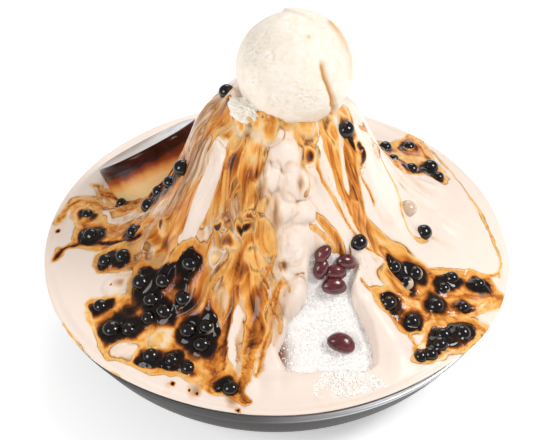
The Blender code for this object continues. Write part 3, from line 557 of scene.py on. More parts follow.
def syrup_fields(x, y):
    """How much syrup lies at (x, y), how far it has mixed in with painted shade added, and how deep in each
    pool the place is.
    """
    angle, radius = flow_place(x, y)
    wx, wy = swirled(x, y, 2.4 * MM)
    flank = rise(radius, 24 * MM, 34 * MM) * (1 - rise(radius, 72 * MM, 98 * MM))
    broad, fine, hair = ribbons(angle, radius)
    amber = np.maximum(sector(angle, -112, 62), 0.8 * sector(angle, 100, 70))
    # Tan, greyer cream on the left and back right: partly cream stained by syrup, partly painted shade on
    # those sides
    tan_shade_side = np.maximum(sector(angle, -165, 95), 0.7 * sector(angle, 60, 70))
    wet = noise(x / (15 * MM), y / (15 * MM), 8.8, 34)
    creases = np.maximum(0.52 * crease(broad, 0.15), (0.36 + 0.16 * wet) * crease(fine, 0.16))
    glaze = np.clip(0.44 * wet + 0.16 * fine + 0.04, 0, 0.46)
    thin = (0.24 + 0.12 * wet) * crease(fine, 0.09)
    syrup = flank * np.clip(amber * np.maximum(creases, glaze) + (1 - amber) * thin, 0, 0.72)
    stain_and_shade = tan_shade_side * (0.34 + 0.26 * fine + 0.40 * crease(hair, 0.16))
    mixed_and_shade = flank * np.clip(0.03 + stain_and_shade + 0.24 * amber, 0, 1)
    for pixels, width, amount, milky in FALLS:
        distance, along = distance_to_line(wx, wy, painted(pixels))
        ends = np.clip(np.minimum(along, 1 - along) * 6 + 0.35, 0, 1)
        half = width * MM * (1.25 + 0.5 * noise(x / (8 * MM), y / (8 * MM), width, 42) + 0.2 * fine) * ends
        cover = rise(-distance, -half - 0.3 * MM, -half * 0.72)
        core = amount + (0.10 * fine + 0.10 * wet) * (amount > 0.2)
        core = core + 0.08 * np.cos(distance / half * 4 + fine * 3) * (amount > 0.4)
        core = core + (0.14 + 0.06 * (amount < 0.4)) * crease(fine, 0.09) + 0.08 * crease(hair, 0.12)
        syrup = syrup * (1 - cover) + np.maximum(core, 0) * cover
        mixed_and_shade = mixed_and_shade * (1 - cover) + milky * (0.75 + 0.5 * fine + 0.4 * crease(hair, 0.2)) * cover
    clean = cleared(wx, wy)
    for pixels, width, strength in STREAMS:
        if width > 1.5:
            syrup = np.maximum(syrup, stream(x, y, wx, wy, pixels, width, strength, fine, hair))
    syrup, mixed_and_shade = syrup * (1 - clean), mixed_and_shade * (1 - 0.7 * clean)
    for pixels, width, strength in STREAMS:
        if width <= 1.5:
            syrup = np.maximum(syrup, stream(x, y, wx, wy, pixels, width, strength, fine, hair))
    pools = {name: depth_inside(wx, wy, line) for name, line in POOL_LINES.items()}
    pool = np.max(list(pools.values()), axis=0)
    swirl = noise(wx / (7.5 * MM), wy / (7.5 * MM), 0.7, 51)
    swirl = swirl + 0.5 * noise(wx / (3 * MM), wy / (3 * MM), 2.7, 52)
    inner = 0.38 + 0.26 * swirl
    for place, size in pearl_places():
        near = np.hypot(wx - place.x, wy - place.y) / (PEARL_RADIUS * size)
        inner = np.maximum(inner, 0.96 - 0.52 * np.clip(near - 1.12 - 0.30 * swirl, 0, 3))
    for column, row, size, amount in PATCHES:
        place = landing(column, row)
        near = np.exp(-((np.hypot(wx - place.x, wy - place.y) / (size * MM)) ** 2))
        inner = inner * (1 - near) + amount * near
    border = rise(pool + 0.9 * swirl * MM, -4.4 * MM, -2.4 * MM) * (0.43 + 0.11 * swirl)
    edge = rise(pool + 0.7 * swirl * MM, -2.6 * MM, 0.6 * MM)
    syrup = np.maximum(syrup, np.maximum(border, np.clip(inner, 0.12, 1) * edge))
    for column, row, size, tall, tint in BUMPS:
        place = landing(column, row, cream_height)
        far = slope_distance(wx, wy, place) / (size * MM)
        veil, core = np.exp(-((far / 1.1) ** 4)), np.exp(-((far / (0.82 + 0.12 * swirl)) ** 4))
        # A thin brown line in the syrup's colours round the foot of each covered pearl: painted crease shade
        crease_shade_ring = 0.27 * np.exp(-(((far - 1.25) / 0.10) ** 2)) * (tint > 0.25)
        syrup = np.maximum(syrup * (1 - veil) + (0.10 * (1 - core) + tint * core) * veil, crease_shade_ring)
        # A soft tan ring at the foot of each tall lobe: painted crease shade
        foot = 0.24 * np.exp(-(((far - 1.08) / 0.2) ** 2)) * (tall > 4.5)
        mixed_and_shade = np.maximum(mixed_and_shade * (1 - 0.8 * veil), foot)
    for column, row, size in SPECKS:
        place = landing(column, row)
        syrup = np.maximum(syrup, 0.95 * np.exp(-((np.hypot(x - place.x, y - place.y) / (size * MM)) ** 8)))
    # Grey smudges: pearls showing through the cream, and painted shade below the crest's lumps
    for column, row, size in GREY_SMUDGES_AND_SHADE:
        place = landing(column, row)
        near = np.hypot(wx - place.x, wy - place.y) / (size * MM)
        mixed_and_shade = np.maximum(mixed_and_shade, 0.85 * np.exp(-(near**2)))
    return np.clip(syrup, 0, 1), np.clip(mixed_and_shade, 0, 1), pools


def pearl_places():
    """Where each pearl in a pool stands in plan, and its size against the usual."""
    places = [(landing(column, row), size) for _, pearls in POOLS.values() for column, row, size in pearls]
    for turn, reach in BACK_PEARLS:
        angle = math.radians(turn)
        places.append((Vector((reach * MM * math.cos(angle), reach * MM * math.sin(angle), 0)), 0.95))
    return places


def relief(x, y, syrup):
    """Small forms of the cream: strands, the fold round the scoop's foot, and waves further out."""
    angle, radius = flow_place(x, y)
    flank = rise(radius, 26 * MM, 36 * MM) * (1 - rise(radius, 66 * MM, 92 * MM))
    broad, fine, hair = ribbons(angle, radius)
    shaded = np.clip(sector(angle, -150, 105) + 0.8 * sector(angle, 95, 95), 0, 1)
    strands = (0.5 + 0.5 * shaded) * (1.6 - 2.6 * crease(broad, 0.22))
    strands = strands + (0.3 + 0.7 * shaded) * (0.3 - 0.9 * crease(fine, 0.2))
    height = flank * (strands + 0.14 * hair * shaded) * (1 - 0.95 * cleared(x, y)) * MM
    fold = np.exp(-(((radius - 24.5 * MM) / (4.5 * MM)) ** 2))
    height = height + 3.2 * MM * fold * sector(angle, -95, 110)
    waves = noise(x / (16 * MM), y / (16 * MM), 5.5, 63)
    height = height + waves * 0.35 * MM * rise(radius, 60 * MM, 90 * MM)
    height = height - 0.35 * MM * rise(syrup, 0.25, 0.5) * (1 - rise(radius, 104 * MM, 112 * MM))
    return height * np.clip((RIM_RADIUS - 3 * MM - np.hypot(x, y)) / (8 * MM), 0, 1)


def knobs(x, y):
    """How far the covered pearls and the lobes of the crest push the surface, as a vector at each place."""
    push = np.zeros(np.shape(x) + (3,))
    for column, row, size, tall, _ in BUMPS:
        place = landing(column, row, cream_height)
        near = slope_distance(x, y, place) / (size * MM)
        round_top = 0.8 * np.clip(1 - (near / 1.1) ** 2, 0, 1) ** 0.6 + 0.2 * np.exp(-(near**2))
        push += (tall * MM * round_top)[..., None] * np.array(outward(place.x, place.y, mound_height))
    return push


# Meshes


def piece(name, verts, faces, material, nodes, attributes=None, uv=None, smooth=True):
    """A mesh object that stands for CAD nodes, with values at its points for its material."""
    mesh = bpy.data.meshes.new(name)
    verts, faces = np.asarray(verts, np.float32), np.asarray(faces, np.int32)
    mesh.vertices.add(len(verts))
    mesh.vertices.foreach_set("co", verts.ravel())
    sides = faces.shape[1]
    mesh.loops.add(faces.size)
    mesh.loops.foreach_set("vertex_index", faces.ravel())
    mesh.polygons.add(len(faces))
    mesh.polygons.foreach_set("loop_start", np.arange(0, faces.size, sides, dtype=np.int32))
    mesh.update(calc_edges=True)
    mesh.validate()
    for key, values in (attributes or {}).items():
        values = np.asarray(values, np.float32)
        if values.ndim == 1:
            mesh.attributes.new(key, "FLOAT", "POINT").data.foreach_set("value", values)
        else:
            mesh.attributes.new(key, "FLOAT_VECTOR", "POINT").data.foreach_set("vector", values.ravel())
    if uv is not None:
        layer = mesh.uv_layers.new(name="OFBake")
        loops = np.empty(len(mesh.loops), np.int32)
        mesh.loops.foreach_get("vertex_index", loops)
        layer.data.foreach_set("uv", np.asarray(uv, np.float32)[loops].ravel())
    if smooth:
        mesh.shade_smooth()
    mesh.materials.append(material)
    made = bpy.data.objects.new(name, mesh)
    bpy.context.scene.collection.objects.link(made)
    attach(made, "root")
    if nodes:
        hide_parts(*nodes)
    return made


def compact(verts, faces, *arrays):
    """Only the points that some face uses, with the arrays that go with them."""
    used = np.unique(faces)
    index = np.full(len(verts), -1)
    index[used] = np.arange(len(used))
    return (verts[used], index[faces]) + tuple(a[used] for a in arrays)


def grid_faces(rings, steps):
    """Quads of a grid of rings, closed round the axis."""
    i, j = np.meshgrid(np.arange(rings - 1), np.arange(steps), indexing="ij")
    k = (j + 1) % steps
    corners = [i * steps + j, (i + 1) * steps + j, (i + 1) * steps + k, i * steps + k]
    return np.stack(corners, axis=-1).reshape(-1, 4)


# Materials


class Shader:
    """A node material with short ways to add the usual nodes."""

    def __init__(self, name):
        self.material = bpy.data.materials.new(name)
        self.material.use_nodes = True
        self.tree = self.material.node_tree
        self.surface = self.tree.nodes["Principled BSDF"]

    def set(self, **values):
        for key, value in values.items():
            self.surface.inputs[key.replace("_", " ")].default_value = value
        return self

    def link(self, source, socket):
        self.tree.links.new(source, self.surface.inputs[socket] if isinstance(socket, str) else socket)

    def node(self, kind, inputs=None, **settings):
        made = self.tree.nodes.new(kind)
        for key, value in settings.items():
            setattr(made, key, value)
        for key, value in (inputs or {}).items():
            socket = made.inputs[key]
            if isinstance(value, bpy.types.NodeSocket):
                self.tree.links.new(value, socket)
            else:
                socket.default_value = value
        return made

    def attribute(self, name):
        return self.node("ShaderNodeAttribute", attribute_name=name).outputs["Fac"]

    def math(self, operation, a, b=0.0, c=0.0, clamp=False):
        made = self.node("ShaderNodeMath", {0: a, 1: b, 2: c}, operation=operation, use_clamp=clamp)
        return made.outputs[0]

    def noise(self, scale, detail=3.0, roughness=0.55, stretch=(1, 1, 1), place=None, twist=0.0):
        """Noise over the object, or over another vector, stretched and twisted as asked."""
        if place is None:
            place = self.node("ShaderNodeTexCoord").outputs["Object"]
            place = self.node("ShaderNodeMapping", {"Vector": place, "Scale": stretch}).outputs[0]
        inputs = {"Vector": place, "Scale": scale, "Detail": detail, "Roughness": roughness}
        return self.node("ShaderNodeTexNoise", {**inputs, "Distortion": twist}).outputs[0]

    def ramp(self, value, stops):
        made = self.node("ShaderNodeValToRGB", {0: value})
        elements = made.color_ramp.elements
        while len(elements) < len(stops):
            elements.new(0.5)
        for element, (position, colour) in zip(elements, stops):
            element.position, element.color = position, colour
        return made.outputs[0]

    def mix(self, factor, a, b, blend="MIX"):
        made = self.node("ShaderNodeMix", data_type="RGBA", blend_type=blend)
        for socket, value in zip((made.inputs[0], made.inputs[6], made.inputs[7]), (factor, a, b)):
            if isinstance(value, bpy.types.NodeSocket):
                self.tree.links.new(value, socket)
            else:
                socket.default_value = value
        return made.outputs[2]

    def bump(self, height, strength, distance):
        made = self.node("ShaderNodeBump", {"Height": height, "Strength": strength, "Distance": distance})
        self.link(made.outputs[0], "Normal")


def marbled_material():
    """Cream, and the syrup on it from a thin amber glaze to near black, with a dark line where they meet."""
    s = Shader("cream_and_syrup")
    syrup, flank = s.attribute("syrup"), s.attribute("flank")
    flow = s.node("ShaderNodeAttribute", attribute_name="flow").outputs["Vector"]
    strand = s.noise(1.0, 4, 0.6, place=flow, twist=0.6)
    thread = s.noise(2.4, 3, 0.6, place=flow, twist=0.4)
    swirl = s.noise(170, 4, 0.6, twist=1.6)
    detail = s.math("ADD", swirl, s.math("MULTIPLY", flank, s.math("SUBTRACT", strand, swirl)))
    wet = s.math("SUBTRACT", s.math("MULTIPLY", syrup, 5), 0.6, clamp=True)
    broken = s.math("MULTIPLY", s.math("SUBTRACT", detail, 0.5), 0.45)
    amount = s.math("ADD", syrup, s.math("MULTIPLY", wet, broken))
    cream, thick = srgb(240, 223, 210), srgb(236, 213, 192)
    lined = s.ramp(amount, [
        (0.0, cream), (0.17, thick), (0.225, srgb(212, 164, 110)), (0.255, srgb(118, 70, 32)),
        (0.30, srgb(206, 146, 74)), (0.37, srgb(240, 190, 112)), (0.48, srgb(230, 156, 70)),
        (0.60, srgb(190, 108, 38)), (0.70, srgb(104, 54, 22)), (0.82, srgb(38, 24, 17)),
        (1.0, srgb(14, 10, 9))])
    soft = s.ramp(amount, [
        (0.0, cream), (0.20, thick), (0.32, srgb(240, 202, 142)), (0.43, srgb(236, 172, 88)),
        (0.56, srgb(200, 118, 40)), (0.70, srgb(104, 54, 22)), (0.82, srgb(38, 24, 17)),
        (1.0, srgb(14, 10, 9))])
    lines = s.ramp(s.noise(60, 2), [(0.42, (0, 0, 0, 1)), (0.56, (1, 1, 1, 1))])
    colour = s.mix(lines, soft, lined)
    mixed_and_shade = s.attribute("mixed_and_shade")
    uneven = s.math("MULTIPLY", flank, s.math("MULTIPLY", s.math("SUBTRACT", thread, 0.5), 2.4))
    # The tan multiplied in: cream mixed with syrup, and painted shade at the lobes' feet, below lumps and on
    # the left and back right
    milky = s.ramp(s.math("ADD", mixed_and_shade, s.math("MULTIPLY", mixed_and_shade, uneven)), [
        (0.10, srgb(255, 255, 255)), (0.4, srgb(238, 220, 198)), (0.7, srgb(208, 182, 154)),
        (1.0, srgb(168, 140, 116))])
    colour = s.mix(1.0, colour, milky, "MULTIPLY")
    s.link(colour, "Base Color")
    span = {"From Min": 0.2, "From Max": 0.75, "To Min": 0.34, "To Max": 0.05}
    rough = s.node("ShaderNodeMapRange", {"Value": amount, **span})
    s.link(rough.outputs[0], "Roughness")
    smooth = s.math("SUBTRACT", 1.15, s.math("MULTIPLY", amount, 1.3), clamp=True)
    grain = s.math("ADD", s.noise(260, 3), s.math("MULTIPLY", flank, thread))
    s.bump(s.math("MULTIPLY", smooth, grain), 0.25, 0.0006)
    s.set(Subsurface_Weight=0.12, Subsurface_Radius=(1.0, 0.75, 0.5), Subsurface_Scale=0.002, IOR=1.35)
    return s.material


def pearl_material():
    s = Shader("tapioca")
    colour = s.ramp(s.noise(180, 2), [(0.35, srgb(6, 5, 5)), (0.7, srgb(24, 13, 9))])
    covered = s.math("ADD", s.attribute("veil"), s.noise(150, 2, twist=0.8))
    veil = s.ramp(s.math("MULTIPLY", covered, 0.5), [(0.47, (0, 0, 0, 1)), (0.58, (1, 1, 1, 1))])
    s.link(s.mix(veil, colour, srgb(214, 190, 164)), "Base Color")
    s.link(s.ramp(s.noise(500, 2), [(0.3, (0.03, 0.03, 0.03, 1)), (0.8, (0.08, 0.08, 0.08, 1))]), "Roughness")
    s.bump(s.noise(220, 2), 0.05, 0.0008)
    s.set(IOR=1.42, Coat_Weight=0.3, Coat_Roughness=0.03)
    return s.material


def bean_material():
    s = Shader("red_bean")
    colour = s.ramp(s.noise(160, 3, stretch=(1, 2, 2)), [
        (0.3, srgb(64, 18, 24)), (0.6, srgb(104, 34, 40)), (0.85, srgb(130, 54, 54))])
    s.link(colour, "Base Color")
    s.link(s.ramp(s.noise(400, 2), [(0.3, (0.18, 0.18, 0.18, 1)), (0.8, (0.34, 0.34, 0.34, 1))]), "Roughness")
    s.bump(s.noise(330, 4), 0.25, 0.0008)
    s.set(Subsurface_Weight=0.08, Subsurface_Scale=0.002, Coat_Weight=0.5, Coat_Roughness=0.12)
    return s.material


def ice_material(name, flakes=False):
    s = Shader(name)
    browned = s.attribute("browned") if not flakes else 0.0
    grain = s.ramp(s.noise(700, 4), [(0.3, srgb(226, 221, 218)), (0.6, srgb(246, 243, 240))])
    colour = s.mix(browned, grain, srgb(142, 82, 46), "MULTIPLY") if not flakes else grain
    s.link(colour, "Base Color")
    s.link(s.ramp(s.noise(700, 2), [(0.3, (0.3, 0.3, 0.3, 1)), (0.7, (0.7, 0.7, 0.7, 1))]), "Roughness")
    s.bump(s.noise(900, 5, 0.7), 0.1 if flakes else 0.5, 0.0006)
    # The ice glows a little, the loose flakes most: painted light that brightens them as light scattered
    # through snow would
    s.set(IOR=1.2, Emission_Color=(1, 1, 1, 1), Emission_Strength=0.22 if flakes else 0.02)
    return s.material


def ice_cream_material():
    s = Shader("ice_cream")
    base = s.ramp(s.noise(260, 5, 0.65), [
        (0.3, srgb(236, 220, 198)), (0.55, srgb(241, 231, 218)), (0.8, srgb(246, 239, 230))])
    colour = s.mix(s.attribute("caramel"), base, srgb(216, 160, 84), "MIX")
    s.link(colour, "Base Color")
    s.link(s.ramp(s.noise(300, 3), [(0.3, (0.36, 0.36, 0.36, 1)), (0.7, (0.6, 0.6, 0.6, 1))]), "Roughness")
    s.bump(s.noise(700, 6, 0.7), 0.3, 0.0006)
    s.set(Subsurface_Weight=0.15, Subsurface_Radius=(1.0, 0.7, 0.45), Subsurface_Scale=0.003)
    return s.material


def custard_material():
    s = Shader("custard")
    up = s.math("ADD", s.attribute("up"), s.math("MULTIPLY", s.math("SUBTRACT", s.noise(70, 3), 0.5), 0.35))
    colour = s.ramp(up, [
        (0.0, srgb(246, 222, 174)), (0.5, srgb(244, 208, 146)), (0.66, srgb(232, 160, 84)),
        (0.80, srgb(156, 66, 30)), (0.95, srgb(50, 19, 13))])
    s.link(colour, "Base Color")
    s.link(s.ramp(s.noise(200, 2), [(0.3, (0.16, 0.16, 0.16, 1)), (0.8, (0.3, 0.3, 0.3, 1))]), "Roughness")
    s.bump(s.noise(300, 2), 0.08, 0.0006)
    s.set(Subsurface_Weight=0.35, Subsurface_Radius=(1.0, 0.5, 0.2), Subsurface_Scale=0.004)
    s.set(IOR=1.38, Coat_Weight=0.1, Coat_Roughness=0.06)
    return s.material


def caramel_material():
    s = Shader("caramel")
    colour = s.ramp(s.noise(90, 3), [(0.3, srgb(34, 14, 10)), (0.7, srgb(74, 30, 18))])
    s.link(colour, "Base Color")
    s.link(s.ramp(s.noise(150, 2), [(0.3, (0.10, 0.10, 0.10, 1)), (0.8, (0.22, 0.22, 0.22, 1))]), "Roughness")
    s.bump(s.noise(120, 2), 0.05, 0.0008)
    s.set(IOR=1.22)
    return s.material


def steel_material():
    s = Shader("bowl_steel")
    # The rim value: the silver, metallic lip, low on the front left where painted shade takes its place
    rim = s.attribute("rim")
    brushed = s.noise(900, 3, stretch=(0.15, 0.15, 3))
    dark = s.ramp(brushed, [(0.3, srgb(27, 23, 21)), (0.7, srgb(42, 36, 33))])
    s.link(s.mix(rim, dark, srgb(196, 196, 199)), "Base Color")
    rough = s.node("ShaderNodeMapRange", {"Value": brushed, "To Min": 0.28, "To Max": 0.42})
    s.link(rough.outputs[0], "Roughness")
    s.bump(brushed, 0.05, 0.0003)
    s.link(s.math("MULTIPLY", rim, 0.9), "Metallic")
    s.set(IOR=1.15)
    return s.material


# Pieces


def turned_grid(profile, steps, matrix=None):
    """Points and faces of a solid of revolution from (radius, height) points, the ends near the axis."""
    angle = np.linspace(0, 2 * math.pi, steps, endpoint=False)
    profile = np.array(profile, float)
    x = profile[:, 0][:, None] * np.cos(angle)
    y = profile[:, 0][:, None] * np.sin(angle)
    z = np.repeat(profile[:, 1][:, None], steps, axis=1)
    verts = np.stack([x, y, z], axis=-1).reshape(-1, 3)
    if matrix is not None:
        verts = verts @ np.array(matrix.to_3x3()).T + np.array(matrix.translation)
    return verts, grid_faces(len(profile), steps)[:, ::-1]


def dense(profile, count):
    """A profile resampled by length along smooth curves through its points."""
    profile = np.array(profile, float)
    length = np.concatenate([[0], np.cumsum(np.hypot(*np.diff(profile, axis=0).T))])
    at = np.linspace(0, length[-1], count)
    return np.stack([smooth_curve(at, length, profile[:, 0]), smooth_curve(at, length, profile[:, 1])], axis=1)


def make_bowl():
    lip = [(115, 44), (115.3, 44.35), (116, 44.6), (116.8, 44.6), (117.6, 44.3), (118, 43.7), (118, 43.2),
           (117.5, 42.6)]
    inside_wall = [(0.01, 3)] + BOWL_INSIDE[:-1] + [(114.6, 43.2)]
    outside = [(116.6, 41)] + BOWL_OUTSIDE[1:] + [(0.01, 0)]
    profile = np.concatenate([dense(inside_wall, 40), dense(lip, 26), dense(outside, 60)]) * MM
    verts, faces = turned_grid(profile, 200)
    rim = rise(verts[:, 2], BOWL_HEIGHT - 1.3 * MM, BOWL_HEIGHT - 0.7 * MM)
    # The silver lip fades to the dark finish towards the front left: painted shade in place of the little
    # light the steel reflects there
    rim *= 1 - 0.85 * sector(np.arctan2(verts[:, 1], verts[:, 0]), -125, 60)
    piece("bowl_shell", verts, faces, steel_material(), ["bowl"], {"rim": rim})


def window_depth(x, y):
    wx, wy = swirled(x, y, 1.6 * MM)
    return depth_inside(wx, wy, WINDOW_LINE)


def level_ring(radius, height, angle):
    return np.stack([radius * np.cos(angle), radius * np.sin(angle), np.full(len(angle), height)], -1)


def make_ice():
    """The heap of shaved ice, granular where it shows, and the flakes lying on it."""
    rings, steps = 200, 480
    radii = np.linspace(0.2 * MM, ICE_REACH, rings)[:, None]
    angle = np.linspace(-math.pi, math.pi, steps, endpoint=False)
    x, y = radii * np.cos(angle), radii * np.sin(angle)
    z = ice_height(x, y)
    shown = rise(window_depth(x, y), -3 * MM, 1 * MM)
    grain = fractal(x / (4 * MM), y / (4 * MM), z / (4 * MM), 71, 3) * 1.1 * MM
    z = z + shown * (grain + 0.7 * MM)
    top = np.stack([x, y, z], axis=-1).reshape(-1, 3)
    wall = []
    for r, h in reversed(BOWL_INSIDE[:-1]):
        wall.append(level_ring((r - 0.5) * MM, (h + 0.4) * MM, angle))
    wall.append(level_ring(0.2 * MM, 3.4 * MM, angle))
    verts = np.concatenate([top] + wall)
    faces = grid_faces(rings + len(wall), steps)
    edge = depth_inside(x, y, WINDOW_LINE)
    spots = rise(noise(x / (5 * MM), y / (5 * MM), 0.2, 72), 0.3, 0.7) * rise(-edge, -5 * MM, -1 * MM)
    # A brown spot at the left edge of the window, over brown spots along its edges, multiplied into the ice
    brown_spot = landing(280, 354, sink=CREAM_THICKNESS)
    from_brown_spot = np.hypot(x - brown_spot.x, (y - brown_spot.y) * 0.6) / (4.6 * MM)
    spots = np.maximum(spots * 0.5, np.exp(-(from_brown_spot**2)))
    browned = np.concatenate([spots.ravel(), np.zeros(len(wall) * steps)])
    heap = ice_material("shaved_ice")
    piece("shaved_ice_heap", verts, faces, heap, ["shaved_ice"], {"browned": browned})
    flakes = ice_material("ice_flakes", True)
    make_flakes("ice_flakes", WINDOW_LINE, ice_height, 1500, flakes, 17, "shaved_ice")
    make_flakes("ice_flakes_rim", plan_line(FROST), flake_bed, 1100, flakes, 18, "cream")


def flake_bed(x, y):
    """Just under the top of the cream."""
    return CREAM_LEVEL + cream_height(x, y) - 0.5 * MM


def make_flakes(name, outline, height_at, count, material, seed, node):
    """Small crystals of ice scattered inside an outline, half sunk in what carries them."""
    rng = np.random.default_rng(seed)
    corners = np.array([(1, 0, 0), (-1, 0, 0), (0, 1, 0), (0, -1, 0), (0, 0, 1), (0, 0, -1)], float)
    sides = np.array([(0, 2, 4), (2, 1, 4), (1, 3, 4), (3, 0, 4), (2, 0, 5), (1, 2, 5), (3, 1, 5), (0, 3, 5)])
    low = np.min([(p.x, p.y) for p in outline], axis=0)
    high = np.max([(p.x, p.y) for p in outline], axis=0)
    place = rng.uniform(low, high, (count * 3, 2))
    depth = depth_inside(*swirled(place[:, 0], place[:, 1], 1.6 * MM), outline)
    place = place[depth > 0.2 * MM][:count]
    n = len(place)
    size = rng.uniform(0.25, 0.7, (n, 3)) * np.array([1.2, 0.9, 0.6]) * MM
    height = height_at(place[:, 0], place[:, 1]) + rng.uniform(0.2, 1.0, n) * MM
    q = rng.normal(size=(n, 4))
    q /= np.linalg.norm(q, axis=1)[:, None]
    w, a, b, c = q.T
    turn = np.stack([1 - 2 * (b * b + c * c), 2 * (a * b - c * w), 2 * (a * c + b * w),
                     2 * (a * b + c * w), 1 - 2 * (a * a + c * c), 2 * (b * c - a * w),
                     2 * (a * c - b * w), 2 * (b * c + a * w), 1 - 2 * (a * a + b * b)], 1).reshape(n, 3, 3)
    points = np.einsum("nij,nkj->nki", turn, corners[None] * size[:, None] * rng.uniform(0.7, 1.3, (n, 6, 1)))
    points += np.concatenate([place, height[:, None]], 1)[:, None]
    faces = (sides[None] + np.arange(n)[:, None, None] * 6).reshape(-1, 3)
    piece(name, points.reshape(-1, 3), faces, material, [node], smooth=False)


def cream_surface():
    """The cream's whole top as arrays over rings and steps, from the peak out over the lip and under."""
    outer = 112 * MM
    shares = np.linspace(0, 1, RINGS)
    radii = (3 * MM + (outer - 3 * MM) * (shares + 0.03 * np.sin(2 * math.pi * shares)))[:, None]
    angle = np.linspace(-math.pi, math.pi, ROUND, endpoint=False)
    x, y = radii * np.cos(angle), radii * np.sin(angle)
    plain = CREAM_LEVEL + cream_height(x, y)
    syrup, _, _ = syrup_fields(x, y)
    full = plain + relief(x, y, syrup)
    depth = window_depth(x, y)
    round_edge = np.sqrt(np.clip(1 - np.clip(depth / (3.5 * MM) + 1, 0, 1) ** 2, 0, 1))
    low = ice_height(x, y) + 0.3 * MM
    z = low + (full - low) * round_edge
    push = np.zeros((RINGS + LIP_RINGS + HEM_RINGS, ROUND, 3))
    near_rim = np.clip((RIM_RADIUS - 5 * MM - np.hypot(x, y)) / (8 * MM), 0, 1)
    push[:RINGS] = knobs(x, y) * near_rim[..., None] * round_edge[..., None]
    rings_x, rings_y, rings_z = [x], [y], [z]
    reach = rim_reach(angle)
    crown = CREAM_LEVEL - 0.1 * MM + noise(np.cos(angle) * 9, np.sin(angle) * 9, 0.5, 81) * 0.35 * MM
    lip = BOWL_HEIGHT + 0.5 * MM
    for t in np.linspace(0.12, 1, LIP_RINGS):
        r = outer + (reach - 1.8 * MM - outer) * t
        h = z[-1] + (crown - z[-1]) * rise(t, 0, 1)
        rings_x.append((r * np.cos(angle))[None])
        rings_y.append((r * np.sin(angle))[None])
        rings_z.append(h[None])
    draped = rise(reach, RIM_RADIUS - 1.4 * MM, RIM_RADIUS + 0.2 * MM)
    drip = noise(np.cos(angle) * 11, np.sin(angle) * 11, 3.5, 82)
    hem = draped * (0.6 + 0.5 * drip) * MM
    for t in np.linspace(0.1, 1, HEM_RINGS):
        turn = math.radians(150) * t
        r = reach - 1.8 * MM + (1.8 + 0.3 * draped) * MM * math.sin(turn)
        h = crown + (lip - hem - crown) * (1 - math.cos(turn)) / (1 - math.cos(math.radians(150)))
        rings_x.append((r * np.cos(angle))[None])
        rings_y.append((r * np.sin(angle))[None])
        rings_z.append(h[None])
    x, y, z = np.concatenate(rings_x), np.concatenate(rings_y), np.concatenate(rings_z)
    syrup, mixed_and_shade, pools = syrup_fields(x, y)
    beyond = x.shape[0] - RINGS
    turn, down = flow_place(x, y)
    flow = np.stack([np.cos(turn) * 14, np.sin(turn) * 14, down / (16 * MM)], axis=-1)
    flank = rise(down, 24 * MM, 34 * MM) * (1 - rise(down, 66 * MM, 92 * MM))
    climb = np.zeros(np.shape(x))
    for place, size in pearl_places():
        near = np.hypot(x - place.x, y - place.y) / (PEARL_RADIUS * size)
        climb = np.maximum(climb, 0.8 * MM * size * np.exp(-((np.clip(near - 0.9, 0, 9) / 0.35) ** 2)))
    return {
        "x": x + push[..., 0], "y": y + push[..., 1], "z": z + push[..., 2],
        "syrup": syrup, "mixed_and_shade": mixed_and_shade, "pools": pools, "climb": climb,
        "flow": flow.reshape(-1, 3), "flank": flank,
        "full": np.concatenate([full, z[RINGS:]]) + push[..., 2],
        "window": np.concatenate([depth, np.full((beyond, ROUND), -1.0)]),
    }


def marbled_piece(name, surface, verts, faces, uv, material, node):
    """A piece of the cream's surface, with the values that its material reads."""
    values = [surface[key].reshape(-1, 3) if key == "flow" else surface[key].ravel() for key in MARBLING]
    verts, faces, uv, *values = compact(verts, faces, uv, *values)
    piece(name, verts, faces, material, [node], dict(zip(MARBLING, values)), uv)


def make_cream(material, surface):
    x, y, z = surface["x"], surface["y"], surface["z"]
    verts = np.stack([x, y, z], axis=-1).reshape(-1, 3)
    faces = grid_faces(x.shape[0], ROUND)
    keep = (surface["window"].ravel()[faces] < 0.0).any(axis=1)
    reach = np.maximum(np.hypot(x, y), 1e-9)
    scale = (reach + np.maximum(np.arange(x.shape[0])[:, None] - RINGS, 0) * 0.3 * MM) / (125 * MM) / 2
    uv = np.stack([0.5 + x / reach * scale, 0.5 + y / reach * scale], -1).reshape(-1, 2)
    marbled_piece("cream_coat", surface, verts, faces[keep], uv, material, "cream")


def make_pools(material, surface):
    """The syrup in each hollow, as a thin body with a round edge that sits level with the cream."""
    x, y = surface["x"], surface["y"]
    faces = grid_faces(x.shape[0], ROUND)
    uv = np.stack([0.5 + x / (250 * MM), 0.5 + y / (250 * MM)], -1).reshape(-1, 2)
    for name, depth in surface["pools"].items():
        lift = (SYRUP_THICKNESS + 0.15 * MM) * np.sqrt(np.clip(depth / (2.2 * MM), 0, 1)) - 0.05 * MM
        lift = lift + surface["climb"] * (depth > 0)
        verts = np.stack([x, y, surface["full"] + lift], axis=-1).reshape(-1, 3)
        keep = (depth.ravel()[faces] > 0).any(axis=1)
        marbled_piece(f"syrup_{name}", surface, verts, faces[keep], uv, material, f"pearls_{name}")


def ball(size, detail=4):
    bm = bmesh.new()
    bmesh.ops.create_icosphere(bm, subdivisions=detail, radius=1)
    verts = np.array([v.co[:] for v in bm.verts])
    faces = np.array([[v.index for v in f.verts] for f in bm.faces])
    bm.free()
    return verts * PEARL_RADIUS * size, faces


def pearl_mesh(centre, size, seed):
    verts, faces = ball(size)
    unit = verts / (PEARL_RADIUS * size)
    swell = 1 + 0.03 * noise(unit[:, 0] * 1.3, unit[:, 1] * 1.3, unit[:, 2] * 1.3, seed)
    verts = verts * swell[:, None] * np.array([1.04, 1.0, 0.93])
    turn = np.array(Matrix.Rotation(centre.x * 900, 3, "Z"))
    return verts @ turn.T + np.array(centre), faces


